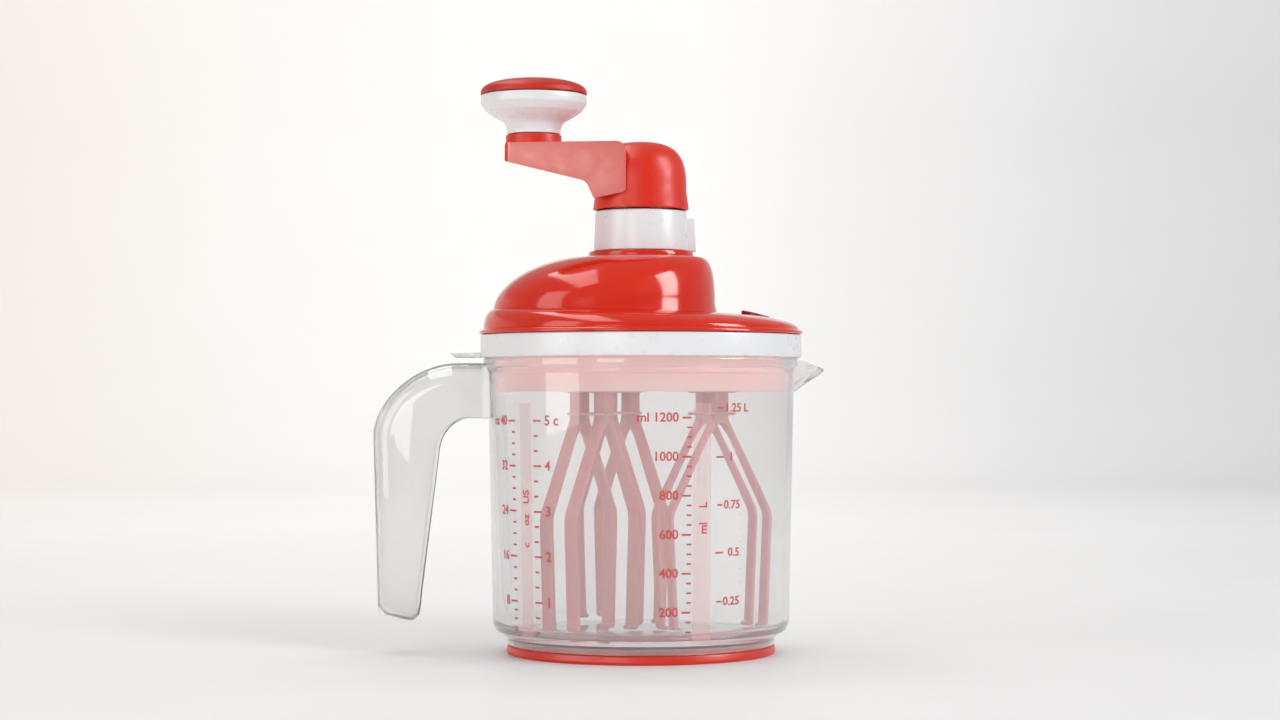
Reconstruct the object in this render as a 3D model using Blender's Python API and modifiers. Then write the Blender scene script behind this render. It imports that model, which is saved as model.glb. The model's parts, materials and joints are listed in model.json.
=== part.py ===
"""Hand crank mixer: a clear measuring jug, a geared lid, a crank with a knob, and three whisks.

Metres, +Z up. The spout points to +X and the handle to -X. The origin is on the ground, midway
between the tip of the spout and the back of the handle.
"""

import math

import bmesh
import bpy
from mathutils import Matrix, Vector

MM = 0.001

# Fits
SEAT_GAP = 0.3 * MM
RUNNING_GAP = 0.3 * MM
SOFT_EDGE = 0.6 * MM
ROUND_STEPS = 36
SMALL_STEPS = 12
SHARP_ANGLE = math.radians(32)

# Base ring
BASE_RING_HEIGHT = 3.7 * MM
BASE_RING_WIDTH = 11.0 * MM
BASE_RING_LIP = 3.6 * MM

# Jug body
RIM_HEIGHT = 126.0 * MM
RIM_RADIUS = 67.9 * MM
RIM_BEAD = 3.6 * MM
RIM_STEP = 2.1 * MM
RIM_FLARE = 5.2 * MM
JUG_TAPER = 2.2 * MM
FOOT_STEP = 6.2 * MM
FOOT_TOP = 6.0 * MM
FOOT_SKIRT = 2.5 * MM
SHOULDER_HEIGHT = 12.3 * MM
JUG_WALL = 1.9 * MM
JUG_FLOOR = 2.2 * MM
WALL_OVERLAP = 2.5 * MM

# Spout
SPOUT_LENGTH = 10.7 * MM
SPOUT_TIP_DROP = 4.4 * MM
SPOUT_DEPTH = 14.1 * MM
SPOUT_HALF_WIDTH = 14.0 * MM
SPOUT_WALL = 1.8 * MM
SPOUT_RIM_SHARE = 0.78
SPOUT_KEEL_SHARE = 0.6

# Handle
HANDLE_DEPTH = 47.1 * MM
HANDLE_DROP = 1.9 * MM
HANDLE_ARCH = 31.1 * MM
HANDLE_CREST_REACH = 11.8 * MM
HANDLE_ROOT_DEPTH = 24.1 * MM
HANDLE_ARCH_POWER = 1.8
HANDLE_GRIP_DEPTH = 27.9 * MM
HANDLE_NOOK = 16.0 * MM
HANDLE_FOOT_DEPTH = 17.2 * MM
HANDLE_TOE_RADIUS = 4.0 * MM
HANDLE_FOOT = 13.0 * MM
HANDLE_FOOT_SLOPE = 3.4 * MM
HANDLE_WIDTH = 24.0 * MM
HANDLE_WALL = 2.2 * MM
HANDLE_EDGE = 2.4 * MM

# Lid ring and gear tray
LID_OVERHANG = 1.1 * MM
LID_RING_HEIGHT = 9.8 * MM
LID_RING_WALL = 3.0 * MM
LID_LEDGE = 3.5 * MM
THUMB_TAB_LENGTH = 13.0 * MM
THUMB_TAB_WIDTH = 18.0 * MM
THUMB_TAB_TAPER = 0.7
LID_SHEET = 2.2 * MM
SKIRT_DEPTH = 14.5 * MM
SKIRT_WALL = 2.0 * MM
SKIRT_CLEARANCE = 0.9 * MM
TRAY_DEPTH = 10.3 * MM
SEAL_HEIGHT = 2.6 * MM
SEAL_DEPTH = 1.0 * MM
SEAL_PLACE = 7.5 * MM
POST_RADIUS = 3.6 * MM
POST_INSET = 10.8 * MM
POST_TURN = math.radians(60)
SCREW_RADIUS = 1.4 * MM
SCREW_HEAD_RADIUS = 3.0 * MM
SCREW_HEAD_HEIGHT = 1.8 * MM
SCREW_LENGTH = 8.0 * MM

# Gear train
SUN_TEETH = 45
PINION_TEETH = 15
WHISK_CIRCLE_SHARE = 0.50243
GEAR_WIDTH = 7.0 * MM
GEAR_FLOAT = 1.3 * MM
PRESSURE_ANGLE = math.radians(20)
BACKLASH = 0.3 * MM
ADDENDUM = 0.9
DEDENDUM = 1.25
SUN_HUB_RADIUS = 8.5 * MM
SUN_WINDOWS = 6
SUN_WINDOW_RADIUS = 4.2 * MM
SPINDLE_RADIUS = 3.0 * MM
BUSH_WALL = 1.9 * MM
BUSH_FLANGE = 1.8 * MM

# Cover
COVER_OVERHANG = 0.6 * MM
COVER_WALL = 2.2 * MM
COVER_LIP = 1.4 * MM
SPIGOT_WALL = 2.0 * MM
DISC_EDGE_INSET = 1.3 * MM
HANDLE_SIDE_RISE = 8.6 * MM
SPOUT_SIDE_RISE = 6.6 * MM
DOME_HANDLE_INSET = 5.6 * MM
DOME_SPOUT_REACH = 32.0 * MM
DOME_HANDLE_POWER = 1.8
DOME_SPOUT_POWER = 3.0
DOME_HEIGHT = 22.6 * MM
DOME_FILLET = 0.9 * MM
SEAT_SHOULDER = 1.8 * MM
SEAT_RING_RADIUS = 22.5 * MM
SEAT_RING_HEIGHT = 2.3 * MM
KNOB_STEPS = 24
DISC_STEPS = 3
DOME_STEPS = 5
INSIDE_DISC_STEPS = 1
INSIDE_DOME_STEPS = 2

# Filler funnel
FILLER_INSET = 11.3 * MM
FILLER_BORE = 5.0 * MM
FILLER_WALL = 1.3 * MM
FILLER_RISE = 3.2 * MM
FILLER_SLANT = math.radians(16)
FILLER_FLANGE = 1.7 * MM

# Turret
TURRET_TOP_RADIUS = 19.6 * MM
TURRET_FOOT_RADIUS = 20.3 * MM
TURRET_HEIGHT = 17.2 * MM
TURRET_WALL = 2.0 * MM
TURRET_PLUG = 5.5 * MM
TURRET_TUBE_WALL = 2.6 * MM
TURRET_TUBE_LENGTH = 46.0 * MM
TURRET_BUSH_LENGTH = 10.0 * MM
TURRET_TAB_REACH = 23.9 * MM
TURRET_TAB_WIDTH = 7.0 * MM
TURRET_TAB_HEIGHT = 14.4 * MM
TURRET_TAB_TURN = math.radians(15)

# Drive shaft and crank
SHAFT_RADIUS = 5.0 * MM
SHAFT_HEX = 4.4 * MM
SHAFT_HEX_GRIP = 15.0 * MM
SHAFT_HEX_TURN = math.radians(10)
JOURNAL_RADIUS = 3.0 * MM
JOURNAL_LENGTH = 3.0 * MM
CIRCLIP_THICKNESS = 1.2 * MM
CIRCLIP_RADIUS = 9.2 * MM
CIRCLIP_GROOVE = 0.9 * MM
HUB_RADIUS = 20.7 * MM
HUB_SHOULDER_RADIUS = 19.6 * MM
HUB_SHOULDER_HEIGHT = 8.0 * MM
HUB_HEIGHT = 29.1 * MM
HUB_RECESS = 1.6 * MM
CRANK_THROW = 46.2 * MM
ARM_END = 12.1 * MM
ARM_DROP = 1.0 * MM
ARM_TIP_DEPTH = 8.4 * MM
ARM_BEND_DEPTH = 16.8 * MM
ARM_BEND_REACH = 2.7 * MM
ARM_BEND_RADIUS = 4.5 * MM
ARM_HEEL_HEIGHT = 4.0 * MM
ARM_FACE_HEIGHT = 6.9 * MM
ARM_FACE_INSET = 6.4 * MM
ARM_FACE_RADIUS = 4.0 * MM
ARM_FACE_FOOT_RADIUS = 2.0 * MM
ARM_TIP_HALF_WIDTH = 12.2 * MM
ARM_ROOT_HALF_WIDTH = 20.2 * MM
ARM_TIP_RADIUS = 3.5 * MM
ARM_UNDERSIDE_SLOPE = 0.1
HUB_POWER = 3.0
HUB_DOME_STEPS = 7
BOSS_RADIUS = 12.0 * MM
BOSS_HEIGHT = 3.2 * MM

# Knob
KNOB_RADIUS = 22.9 * MM
KNOB_NECK_RADIUS = 11.5 * MM
KNOB_BODY_HEIGHT = 16.8 * MM
KNOB_NECK_HEIGHT = 2.0 * MM
KNOB_BAND_HEIGHT = 3.7 * MM
KNOB_FLARE_STEPS = 7
KNOB_CAP_HEIGHT = 6.8 * MM
KNOB_CAP_POWER = 2.4
KNOB_CAP_STEPS = 6
AXLE_RADIUS = 3.0 * MM
AXLE_DEPTH = 10.0 * MM
AXLE_HEAD_RADIUS = 6.0 * MM
AXLE_HEAD_HEIGHT = 1.8 * MM
KNOB_CAVITY_RADIUS = 9.0 * MM
KNOB_CAVITY_DEPTH = 6.2 * MM

# Whisks
WHISK_DIRECTIONS = (math.radians(-12), math.radians(-132), math.radians(108))
WHISK_TURNS = (math.radians(30), math.radians(60), math.radians(-53))
WHISK_HUB_RADIUS = 10.4 * MM
WHISK_HUB_HEIGHT = 4.2 * MM
WHISK_HUB_DROP = 0.6 * MM
WHISK_SOCKET_DEPTH = 2.2 * MM
SQUARE_HALF = 2.2 * MM
FRAME_SPACING = 12.2 * MM
FRAME_WIDTH = 5.0 * MM
FRAME_SLOT_DEPTH = 1.2 * MM
STEM_HALF_WIDTH = 3.2 * MM
STEM_LENGTH = 11.2 * MM
STEM_RADIUS = 6.0 * MM
CROTCH_DROP = 1.6 * MM
CROTCH_BLEND = 6.2 * MM
CROTCH_RADIUS = 5.0 * MM
RIBBON = 1.8 * MM
KNEE_SHARE = 0.8
KNEE_DROP = 40.0 * MM
KNEE_RADIUS = 9.0 * MM
ANKLE_INSET = 2.2 * MM
TOE_LENGTH = 3.6 * MM
TIP_CLEARANCE = 2.0 * MM
SPACER_THICKNESS = 1.2 * MM
SPACER_RADIUS = 10.2 * MM
SPACER_DROP = 9.5 * MM

# Places that follow from the sizes above
WALL_TOP_RADIUS = RIM_RADIUS - RIM_STEP
WALL_TOP_HEIGHT = RIM_HEIGHT - RIM_FLARE
SHOULDER_RADIUS = WALL_TOP_RADIUS - JUG_TAPER
FOOT_RADIUS = SHOULDER_RADIUS - FOOT_STEP
HANDLE_REACH = RIM_RADIUS + HANDLE_DEPTH
HANDLE_CREST = RIM_RADIUS + HANDLE_CREST_REACH
HANDLE_TOP = RIM_HEIGHT - HANDLE_DROP
HANDLE_BEND = HANDLE_TOP - HANDLE_ARCH
HANDLE_UNDERSIDE = HANDLE_TOP - HANDLE_ROOT_DEPTH
SPOUT_REACH = RIM_RADIUS + SPOUT_LENGTH
SPOUT_TIP_HEIGHT = RIM_HEIGHT - SPOUT_TIP_DROP
SPOUT_KEEL_HEIGHT = RIM_HEIGHT - SPOUT_DEPTH
LID_RADIUS = RIM_RADIUS + LID_OVERHANG
AXIS_X = (HANDLE_REACH - SPOUT_REACH) / 2
JUG_FOOT = BASE_RING_HEIGHT + SEAT_GAP
JUG_FLOOR_TOP = FOOT_TOP + JUG_FLOOR
LID_FOOT = RIM_HEIGHT + SEAT_GAP
LID_RING_TOP = LID_FOOT + LID_RING_HEIGHT
TRAY_UNDERSIDE = LID_FOOT - TRAY_DEPTH
TRAY_TOP = TRAY_UNDERSIDE + LID_SHEET
FLANGE_TOP = LID_FOOT + LID_SHEET
LEDGE_FOOT = FLANGE_TOP + SEAT_GAP
LEDGE_TOP = LEDGE_FOOT + LID_SHEET
RING_BORE = LID_RADIUS - LID_RING_WALL
GEAR_FOOT = TRAY_TOP + GEAR_FLOAT
GEAR_TOP = GEAR_FOOT + GEAR_WIDTH
PLATE_UNDERSIDE = GEAR_TOP + GEAR_FLOAT
PLATE_TOP = PLATE_UNDERSIDE + LID_SHEET
COVER_FOOT = LID_RING_TOP + SEAT_GAP
DISC_FOOT = COVER_FOOT + COVER_LIP + SOFT_EDGE
DOME_HANDLE_REACH = LID_RADIUS - DOME_HANDLE_INSET
HANDLE_SIDE_CREST = DISC_FOOT + HANDLE_SIDE_RISE
SPOUT_SIDE_CREST = DISC_FOOT + SPOUT_SIDE_RISE
DOME_TOP = HANDLE_SIDE_CREST + DOME_HEIGHT
SEAT_RING_TOP = DOME_TOP + SEAT_RING_HEIGHT
TURRET_FOOT = SEAT_RING_TOP + SEAT_GAP
TURRET_TOP = TURRET_FOOT + TURRET_HEIGHT
TURRET_PLUG_RADIUS = TURRET_FOOT_RADIUS - TURRET_WALL
HUB_FOOT = TURRET_TOP + 2 * SEAT_GAP
HUB_TOP = HUB_FOOT + HUB_HEIGHT
ARM_TOP = HUB_TOP - ARM_DROP
BOSS_TOP = HUB_TOP + BOSS_HEIGHT
KNOB_FOOT = BOSS_TOP + SEAT_GAP
KNOB_CAP_FOOT = KNOB_FOOT + KNOB_BODY_HEIGHT + SEAT_GAP
BUSH_RADIUS = SPINDLE_RADIUS + RUNNING_GAP + BUSH_WALL
SHAFT_BUSH_RADIUS = SHAFT_RADIUS + RUNNING_GAP + BUSH_WALL
TUBE_BORE = SHAFT_BUSH_RADIUS + SEAT_GAP
TUBE_RADIUS = TUBE_BORE + TURRET_TUBE_WALL
TUBE_FOOT = TURRET_TOP - TURRET_TUBE_LENGTH
SUN_HUB_FOOT = GEAR_FOOT - GEAR_FLOAT / 2
SUN_HUB_TOP = GEAR_TOP + GEAR_FLOAT / 2
JOURNAL_FOOT = TRAY_TOP - JOURNAL_LENGTH
POST_TOP = PLATE_UNDERSIDE - SEAT_GAP
SCREW_FOOT = PLATE_TOP + SEAT_GAP - SCREW_LENGTH
FILLER_RADIUS = FILLER_BORE + FILLER_WALL
WHISK_CIRCLE = WHISK_CIRCLE_SHARE * (SHOULDER_RADIUS - JUG_WALL)
MODULE = 2 * WHISK_CIRCLE / (SUN_TEETH + PINION_TEETH)
WHISK_HUB_TOP = TRAY_UNDERSIDE - WHISK_HUB_DROP
WHISK_HUB_FOOT = WHISK_HUB_TOP - WHISK_HUB_HEIGHT
SOCKET_FOOT = WHISK_HUB_TOP - WHISK_SOCKET_DEPTH
SPACER_FOOT = WHISK_HUB_FOOT - SPACER_DROP
STEM_SHOULDER = WHISK_HUB_FOOT - STEM_LENGTH
CROTCH_HEIGHT = STEM_SHOULDER - CROTCH_DROP
KNEE_HEIGHT = STEM_SHOULDER - KNEE_DROP
KNEE_REACH = KNEE_SHARE * WHISK_CIRCLE
ANKLE_REACH = KNEE_REACH - ANKLE_INSET
TIP_HEIGHT = JUG_FLOOR_TOP + TIP_CLEARANCE


def jug_inner_radius(height):
    share = (height - SHOULDER_HEIGHT) / (WALL_TOP_HEIGHT - SHOULDER_HEIGHT)
    return SHOULDER_RADIUS + share * (WALL_TOP_RADIUS - SHOULDER_RADIUS) - JUG_WALL


SKIRT_FOOT = LID_FOOT - SKIRT_DEPTH
SKIRT_RADIUS = jug_inner_radius(SKIRT_FOOT) - SKIRT_CLEARANCE
TRAY_BORE = SKIRT_RADIUS - SKIRT_WALL
FLANGE_RADIUS = RING_BORE - SEAT_GAP
SEAL_FOOT = SKIRT_FOOT + SEAL_PLACE
SEAL_BORE = SKIRT_RADIUS - SEAL_DEPTH
POST_CIRCLE = TRAY_BORE - POST_INSET
FILLER_PLACE = TRAY_BORE - FILLER_INSET

RED = (0.70, 0.035, 0.018, 1.0)
DARK_RED = (0.30, 0.010, 0.008, 1.0)
WHITE = (0.80, 0.82, 0.84, 1.0)
CLEAR = (0.86, 0.89, 0.90, 0.35)
WHISK_PINK = (0.60, 0.34, 0.33, 1.0)
NATURAL = (0.72, 0.70, 0.64, 1.0)
STEEL = (0.55, 0.56, 0.58, 1.0)


def clear_scene():
    for item in list(bpy.data.objects):
        bpy.data.objects.remove(item, do_unlink=True)


def new_collection(name):
    made = bpy.data.collections.new(name)
    bpy.context.scene.collection.children.link(made)
    return made


clear_scene()
PARTS = new_collection("hand_crank_mixer")
CUTTERS = new_collection("cutters")


def new_material(name, colour, roughness, metallic=0.0):
    made = bpy.data.materials.new(name)
    made.use_nodes = True
    made.diffuse_color = colour
    shader = made.node_tree.nodes["Principled BSDF"]
    shader.inputs["Base Color"].default_value = colour
    shader.inputs["Roughness"].default_value = roughness
    shader.inputs["Metallic"].default_value = metallic
    shader.inputs["Alpha"].default_value = colour[3]
    return made


def new_empty(name, parent=None, place=(0, 0, 0), turn=0.0):
    made = bpy.data.objects.new(name, None)
    made.empty_display_size = 10 * MM
    made.parent = parent
    made.location = place
    made.rotation_euler.z = turn
    PARTS.objects.link(made)
    return made


def link_part(name, data, parent, colour, roughness, metallic=0.0):
    made = bpy.data.objects.new(name, data)
    made.parent = parent
    data.materials.append(new_material(name, colour, roughness, metallic))
    PARTS.objects.link(made)
    return made


def link_tool(name, data, parent):
    made = bpy.data.objects.new(name, data)
    made.parent = parent
    made.hide_render = True
    made.display_type = "WIRE"
    CUTTERS.objects.link(made)
    return made


def profile_mesh(name, points, closed):
    """The edges of a turned shape's profile, as (radius, height) pairs."""
    mesh = bpy.data.meshes.new(name)
    count = len(points)
    last = count if closed else count - 1
    edges = [(i, (i + 1) % count) for i in range(last)]
    mesh.from_pydata([(r, 0, z) for r, z in points], edges, [])
    return mesh


def turn(target, steps):
    screw = target.modifiers.new("Turn", "SCREW")
    screw.steps = steps
    screw.render_steps = steps
    screw.use_merge_vertices = True
    screw.merge_threshold = 0.01 * MM
    return target


def boolean(target, tool, operation):
    made = target.modifiers.new(tool.name, "BOOLEAN")
    made.operation = operation
    made.solver = "EXACT"
    made.object = tool


def join(target, *tools):
    for tool in tools:
        boolean(target, tool, "UNION")


def carve(target, *tools):
    for tool in tools:
        boolean(target, tool, "DIFFERENCE")


def mesh_from(name, bm):
    bmesh.ops.recalc_face_normals(bm, faces=bm.faces)
    mesh = bpy.data.meshes.new(name)
    bm.to_mesh(mesh)
    bm.free()
    return mesh


def box_mesh(name, low, high):
    bm = bmesh.new()
    bmesh.ops.create_cube(bm, size=1.0)
    low = Vector(low)
    high = Vector(high)
    bmesh.ops.scale(bm, vec=high - low, verts=bm.verts)
    bmesh.ops.translate(bm, vec=(low + high) / 2, verts=bm.verts)
    return mesh_from(name, bm)


def prism_mesh(name, radius, foot, top, sides=SMALL_STEPS, place=(0, 0)):
    bm = bmesh.new()
    bmesh.ops.create_cone(
        bm, cap_ends=True, segments=sides, radius1=radius, radius2=radius, depth=top - foot
    )
    bmesh.ops.translate(bm, vec=(place[0], place[1], (foot + top) / 2), verts=bm.verts)
    return mesh_from(name, bm)


def hex_tool(name, radius, foot, top, parent):
    tool = link_tool(name, prism_mesh(name, radius, foot, top, 6), parent)
    tool.rotation_euler.z = SHAFT_HEX_TURN
    return tool


def hull_mesh(name, points):
    bm = bmesh.new()
    for point in points:
        bm.verts.new(point)
    made = bmesh.ops.convex_hull(bm, input=bm.verts)
    inner = [item for item in made["geom_interior"] if isinstance(item, bmesh.types.BMVert)]
    bmesh.ops.delete(bm, geom=inner, context="VERTS")
    return mesh_from(name, bm)


def outline_mesh(name, outlines, thickness):
    """A flat outline with its holes, given in X and Y, filled and raised to a thickness."""
    curve = bpy.data.curves.new(name, "CURVE")
    curve.dimensions = "2D"
    curve.fill_mode = "BOTH"
    curve.extrude = thickness / 2
    for points in outlines:
        spline = curve.splines.new("POLY")
        spline.points.add(len(points) - 1)
        for point, (x, y) in zip(spline.points, points):
            point.co = (x, y, 0, 1)
        spline.use_cyclic_u = True
    guide = bpy.data.objects.new(name + "_curve", curve)
    CUTTERS.objects.link(guide)
    bpy.context.view_layer.update()
    graph = bpy.context.evaluated_depsgraph_get()
    mesh = bpy.data.meshes.new_from_object(guide.evaluated_get(graph))
    bpy.data.objects.remove(guide, do_unlink=True)
    bm = bmesh.new()
    bm.from_mesh(mesh)
    bmesh.ops.remove_doubles(bm, verts=bm.verts, dist=0.001 * MM)
    bpy.data.meshes.remove(mesh)
    return mesh_from(name, bm)


def stand_up(mesh):
    """Turns a mesh drawn in X and Y so that its Y points up and its thickness runs along Y."""
    for vertex in mesh.vertices:
        x, y, z = vertex.co
        vertex.co = (x, -z, y)
    return mesh


def raise_mesh(mesh, height):
    for vertex in mesh.vertices:
        vertex.co.z += height
    return mesh


def circle(radius, steps, place=(0, 0)):
    turns = [math.tau * i / steps for i in range(steps)]
    return [(place[0] + radius * math.cos(a), place[1] + radius * math.sin(a)) for a in turns]


def quarter(width, height, power, steps):
    """A quarter of a superellipse, from its side to its top."""
    points = []
    for i in range(steps + 1):
        angle = math.pi / 2 * i / steps
        across = max(math.cos(angle), 0.0) ** (2 / power)
        up = max(math.sin(angle), 0.0) ** (2 / power)
        points.append((width * across, height * up))
    return points


def rounded(corners, steps=3):
    """A path through (x, y, radius) corners, each but the first and last rounded to its radius."""
    path = [tuple(corners[0][:2])]
    for before, corner, after in zip(corners, corners[1:], corners[2:]):
        here = Vector(corner[:2])
        back = (Vector(before[:2]) - here).normalized()
        ahead = (Vector(after[:2]) - here).normalized()
        half = back.angle(ahead) / 2
        reach = corner[2] / math.tan(half)
        middle = here + (back + ahead).normalized() * corner[2] / math.sin(half)
        start = here + back * reach - middle
        sweep = start.angle_signed(here + ahead * reach - middle)
        for i in range(steps + 1):
            path.append(tuple(middle + Matrix.Rotation(-sweep * i / steps, 2) @ start))
    path.append(tuple(corners[-1][:2]))
    return path


def make_base_ring(axis):
    inner = FOOT_RADIUS - BASE_RING_WIDTH
    lip_outer = FOOT_RADIUS - FOOT_SKIRT - SEAT_GAP
    lip_inner = lip_outer - BASE_RING_LIP
    profile = [
        (FOOT_RADIUS, BASE_RING_HEIGHT),
        (FOOT_RADIUS, SOFT_EDGE),
        (FOOT_RADIUS - SOFT_EDGE, 0),
        (inner + SOFT_EDGE, 0),
        (inner, SOFT_EDGE),
        (inner, BASE_RING_HEIGHT),
        (lip_inner, BASE_RING_HEIGHT),
        (lip_inner, FOOT_TOP - SEAT_GAP),
        (lip_outer, FOOT_TOP - SEAT_GAP),
        (lip_outer, BASE_RING_HEIGHT),
    ]
    mesh = profile_mesh("base_ring", profile, closed=True)
    return turn(link_part("base_ring", mesh, axis, RED, 0.45), ROUND_STEPS)


def jug_wall_tool(axis):
    """The jug's hollow, which runs out past the rim."""
    profile = [
        (0, RIM_HEIGHT + JUG_WALL),
        (jug_inner_radius(RIM_HEIGHT), RIM_HEIGHT + JUG_WALL),
        (jug_inner_radius(RIM_HEIGHT), RIM_HEIGHT),
        (jug_inner_radius(SHOULDER_HEIGHT), SHOULDER_HEIGHT + JUG_WALL / 2),
        (FOOT_RADIUS - JUG_WALL, JUG_FLOOR_TOP),
        (0, JUG_FLOOR_TOP),
    ]
    mesh = profile_mesh("jug_hollow", profile, closed=False)
    return turn(link_tool("jug_hollow", mesh, axis), ROUND_STEPS)


def spout_points(inset, top):
    """The corners of a beak whose sides are drawn in by an inset and whose top lies level."""
    root = SHOULDER_RADIUS - WALL_OVERLAP
    drop = 1.2 * inset
    tip = SPOUT_REACH - 1.4 * inset
    slope = (SPOUT_TIP_HEIGHT - SPOUT_KEEL_HEIGHT) / (SPOUT_REACH - WALL_TOP_RADIUS)
    keel = SPOUT_KEEL_HEIGHT + drop - slope * (WALL_TOP_RADIUS - root)
    half = SPOUT_HALF_WIDTH - inset
    tip_half = max(SOFT_EDGE - inset / 4, SOFT_EDGE / 4)
    points = [(root, 0, keel)]
    for side in (-1, 1):
        points += [
            (root, side * half, top[0]),
            (RIM_RADIUS, side * half * SPOUT_RIM_SHARE, top[1]),
            (tip, side * tip_half, top[2]),
            (tip, side * tip_half, SPOUT_TIP_HEIGHT - SOFT_EDGE * 2 + drop),
            (root, side * half * SPOUT_KEEL_SHARE, keel + SPOUT_WALL * 1.5),
        ]
    return points


def make_spout_tools(axis):
    outer_top = (RIM_HEIGHT, RIM_HEIGHT - SOFT_EDGE, SPOUT_TIP_HEIGHT)
    above = RIM_HEIGHT + JUG_WALL
    solid = link_tool("spout_solid", hull_mesh("spout_solid", spout_points(0, outer_top)), axis)
    hollow_points = spout_points(SPOUT_WALL, (above, above, above))
    hollow = link_tool("spout_hollow", hull_mesh("spout_hollow", hollow_points), axis)
    return solid, hollow


def handle_outline(inset, opening, root):
    """The hook seen from the side: an outer curve, a sloping foot and an inner curve."""
    crest = HANDLE_CREST
    arch = quarter(HANDLE_REACH - inset - crest, HANDLE_ARCH - inset, HANDLE_ARCH_POWER, 8)
    outer = [(crest + u, HANDLE_BEND + v) for u, v in reversed(arch)]
    heel = HANDLE_REACH - inset - HANDLE_WALL
    grip_inner = HANDLE_REACH - HANDLE_GRIP_DEPTH - opening
    toe = HANDLE_REACH - HANDLE_WALL - HANDLE_FOOT_DEPTH - opening
    foot = [
        (HANDLE_REACH - inset, HANDLE_BEND, 0),
        (heel, HANDLE_FOOT + inset + HANDLE_FOOT_SLOPE, HANDLE_WALL),
        (toe, HANDLE_FOOT + inset - SOFT_EDGE, HANDLE_TOE_RADIUS),
        (grip_inner, HANDLE_UNDERSIDE - HANDLE_NOOK - opening, 0),
    ]
    bend = HANDLE_UNDERSIDE - opening
    nook = quarter(HANDLE_GRIP_DEPTH / 2, bend - foot[-1][1], 2, 5)
    inner = [(grip_inner - HANDLE_GRIP_DEPTH / 2 + u, foot[-1][1] + v) for u, v in nook]
    path = [(root, HANDLE_TOP - inset)] + outer + rounded(foot, 3)[1:-1] + inner + [(root, bend)]
    return [(-u, z) for u, z in path]


def make_handle_tools(axis):
    outline = handle_outline(0, 0, SHOULDER_RADIUS - WALL_OVERLAP)
    solid_mesh = stand_up(outline_mesh("handle_solid", [outline], HANDLE_WIDTH))
    solid = link_tool("handle_solid", solid_mesh, axis)
    bevel = solid.modifiers.new("Edges", "BEVEL")
    bevel.width = HANDLE_EDGE
    bevel.segments = 2
    bevel.limit_method = "ANGLE"
    bevel.angle_limit = math.radians(50)
    pocket = handle_outline(HANDLE_WALL, HANDLE_WALL * 1.5, RIM_RADIUS)
    pocket_mesh = outline_mesh("handle_pocket", [pocket], HANDLE_WIDTH - 2 * HANDLE_WALL)
    return solid, link_tool("handle_pocket", stand_up(pocket_mesh), axis)


def make_jug(axis):
    wall_foot = FOOT_RADIUS - FOOT_SKIRT
    profile = [
        (0, RIM_HEIGHT),
        (RIM_RADIUS - SOFT_EDGE, RIM_HEIGHT),
        (RIM_RADIUS, RIM_HEIGHT - SOFT_EDGE),
        (RIM_RADIUS, RIM_HEIGHT - RIM_BEAD + SOFT_EDGE),
        (RIM_RADIUS - SOFT_EDGE, RIM_HEIGHT - RIM_BEAD),
        (WALL_TOP_RADIUS, WALL_TOP_HEIGHT),
        (SHOULDER_RADIUS, SHOULDER_HEIGHT),
        (SHOULDER_RADIUS - JUG_WALL / 2, SHOULDER_HEIGHT - JUG_WALL),
        (FOOT_RADIUS, FOOT_TOP),
        (FOOT_RADIUS, JUG_FOOT),
        (wall_foot, JUG_FOOT),
        (wall_foot, FOOT_TOP),
        (0, FOOT_TOP),
    ]
    jug = link_part("jug", profile_mesh("jug", profile, closed=False), axis, CLEAR, 0.08)
    turn(jug, ROUND_STEPS)
    handle, pocket = make_handle_tools(axis)
    spout, spout_hollow = make_spout_tools(axis)
    join(jug, handle, spout)
    carve(jug, pocket, jug_wall_tool(axis), spout_hollow)
    return jug


def make_lid_ring(lid):
    ledge = RING_BORE - LID_LEDGE
    profile = [
        (LID_RADIUS - SOFT_EDGE, LID_RING_TOP),
        (LID_RADIUS, LID_RING_TOP - SOFT_EDGE),
        (LID_RADIUS, LID_FOOT + SOFT_EDGE),
        (LID_RADIUS - SOFT_EDGE, LID_FOOT),
        (RING_BORE, LID_FOOT),
        (RING_BORE, LEDGE_FOOT),
        (ledge, LEDGE_FOOT),
        (ledge, LEDGE_TOP),
        (RING_BORE, LEDGE_TOP),
        (RING_BORE, LID_RING_TOP),
    ]
    ring = link_part("lid_ring", profile_mesh("lid_ring", profile, closed=True), lid, WHITE, 0.2)
    turn(ring, ROUND_STEPS)
    root = -(LID_RADIUS - LID_RING_WALL / 2)
    tip = LID_RADIUS + THUMB_TAB_LENGTH
    half = THUMB_TAB_WIDTH / 2
    tab = []
    for side in (-1, 1):
        tab += [
            (root, side * half, LID_FOOT + LID_SHEET),
            (root, side * half, LID_FOOT),
            (-tip, side * half * THUMB_TAB_TAPER, LID_FOOT + LID_SHEET),
            (-tip + LID_SHEET, side * half * THUMB_TAB_TAPER, LID_FOOT),
        ]
    join(ring, link_tool("thumb_tab", hull_mesh("thumb_tab", tab), lid))
    return ring


def whisk_places():
    return [(WHISK_CIRCLE * math.cos(a), WHISK_CIRCLE * math.sin(a)) for a in WHISK_DIRECTIONS]


def post_places():
    turns = [a + POST_TURN for a in WHISK_DIRECTIONS]
    return [(POST_CIRCLE * math.cos(a), POST_CIRCLE * math.sin(a)) for a in turns]


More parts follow.
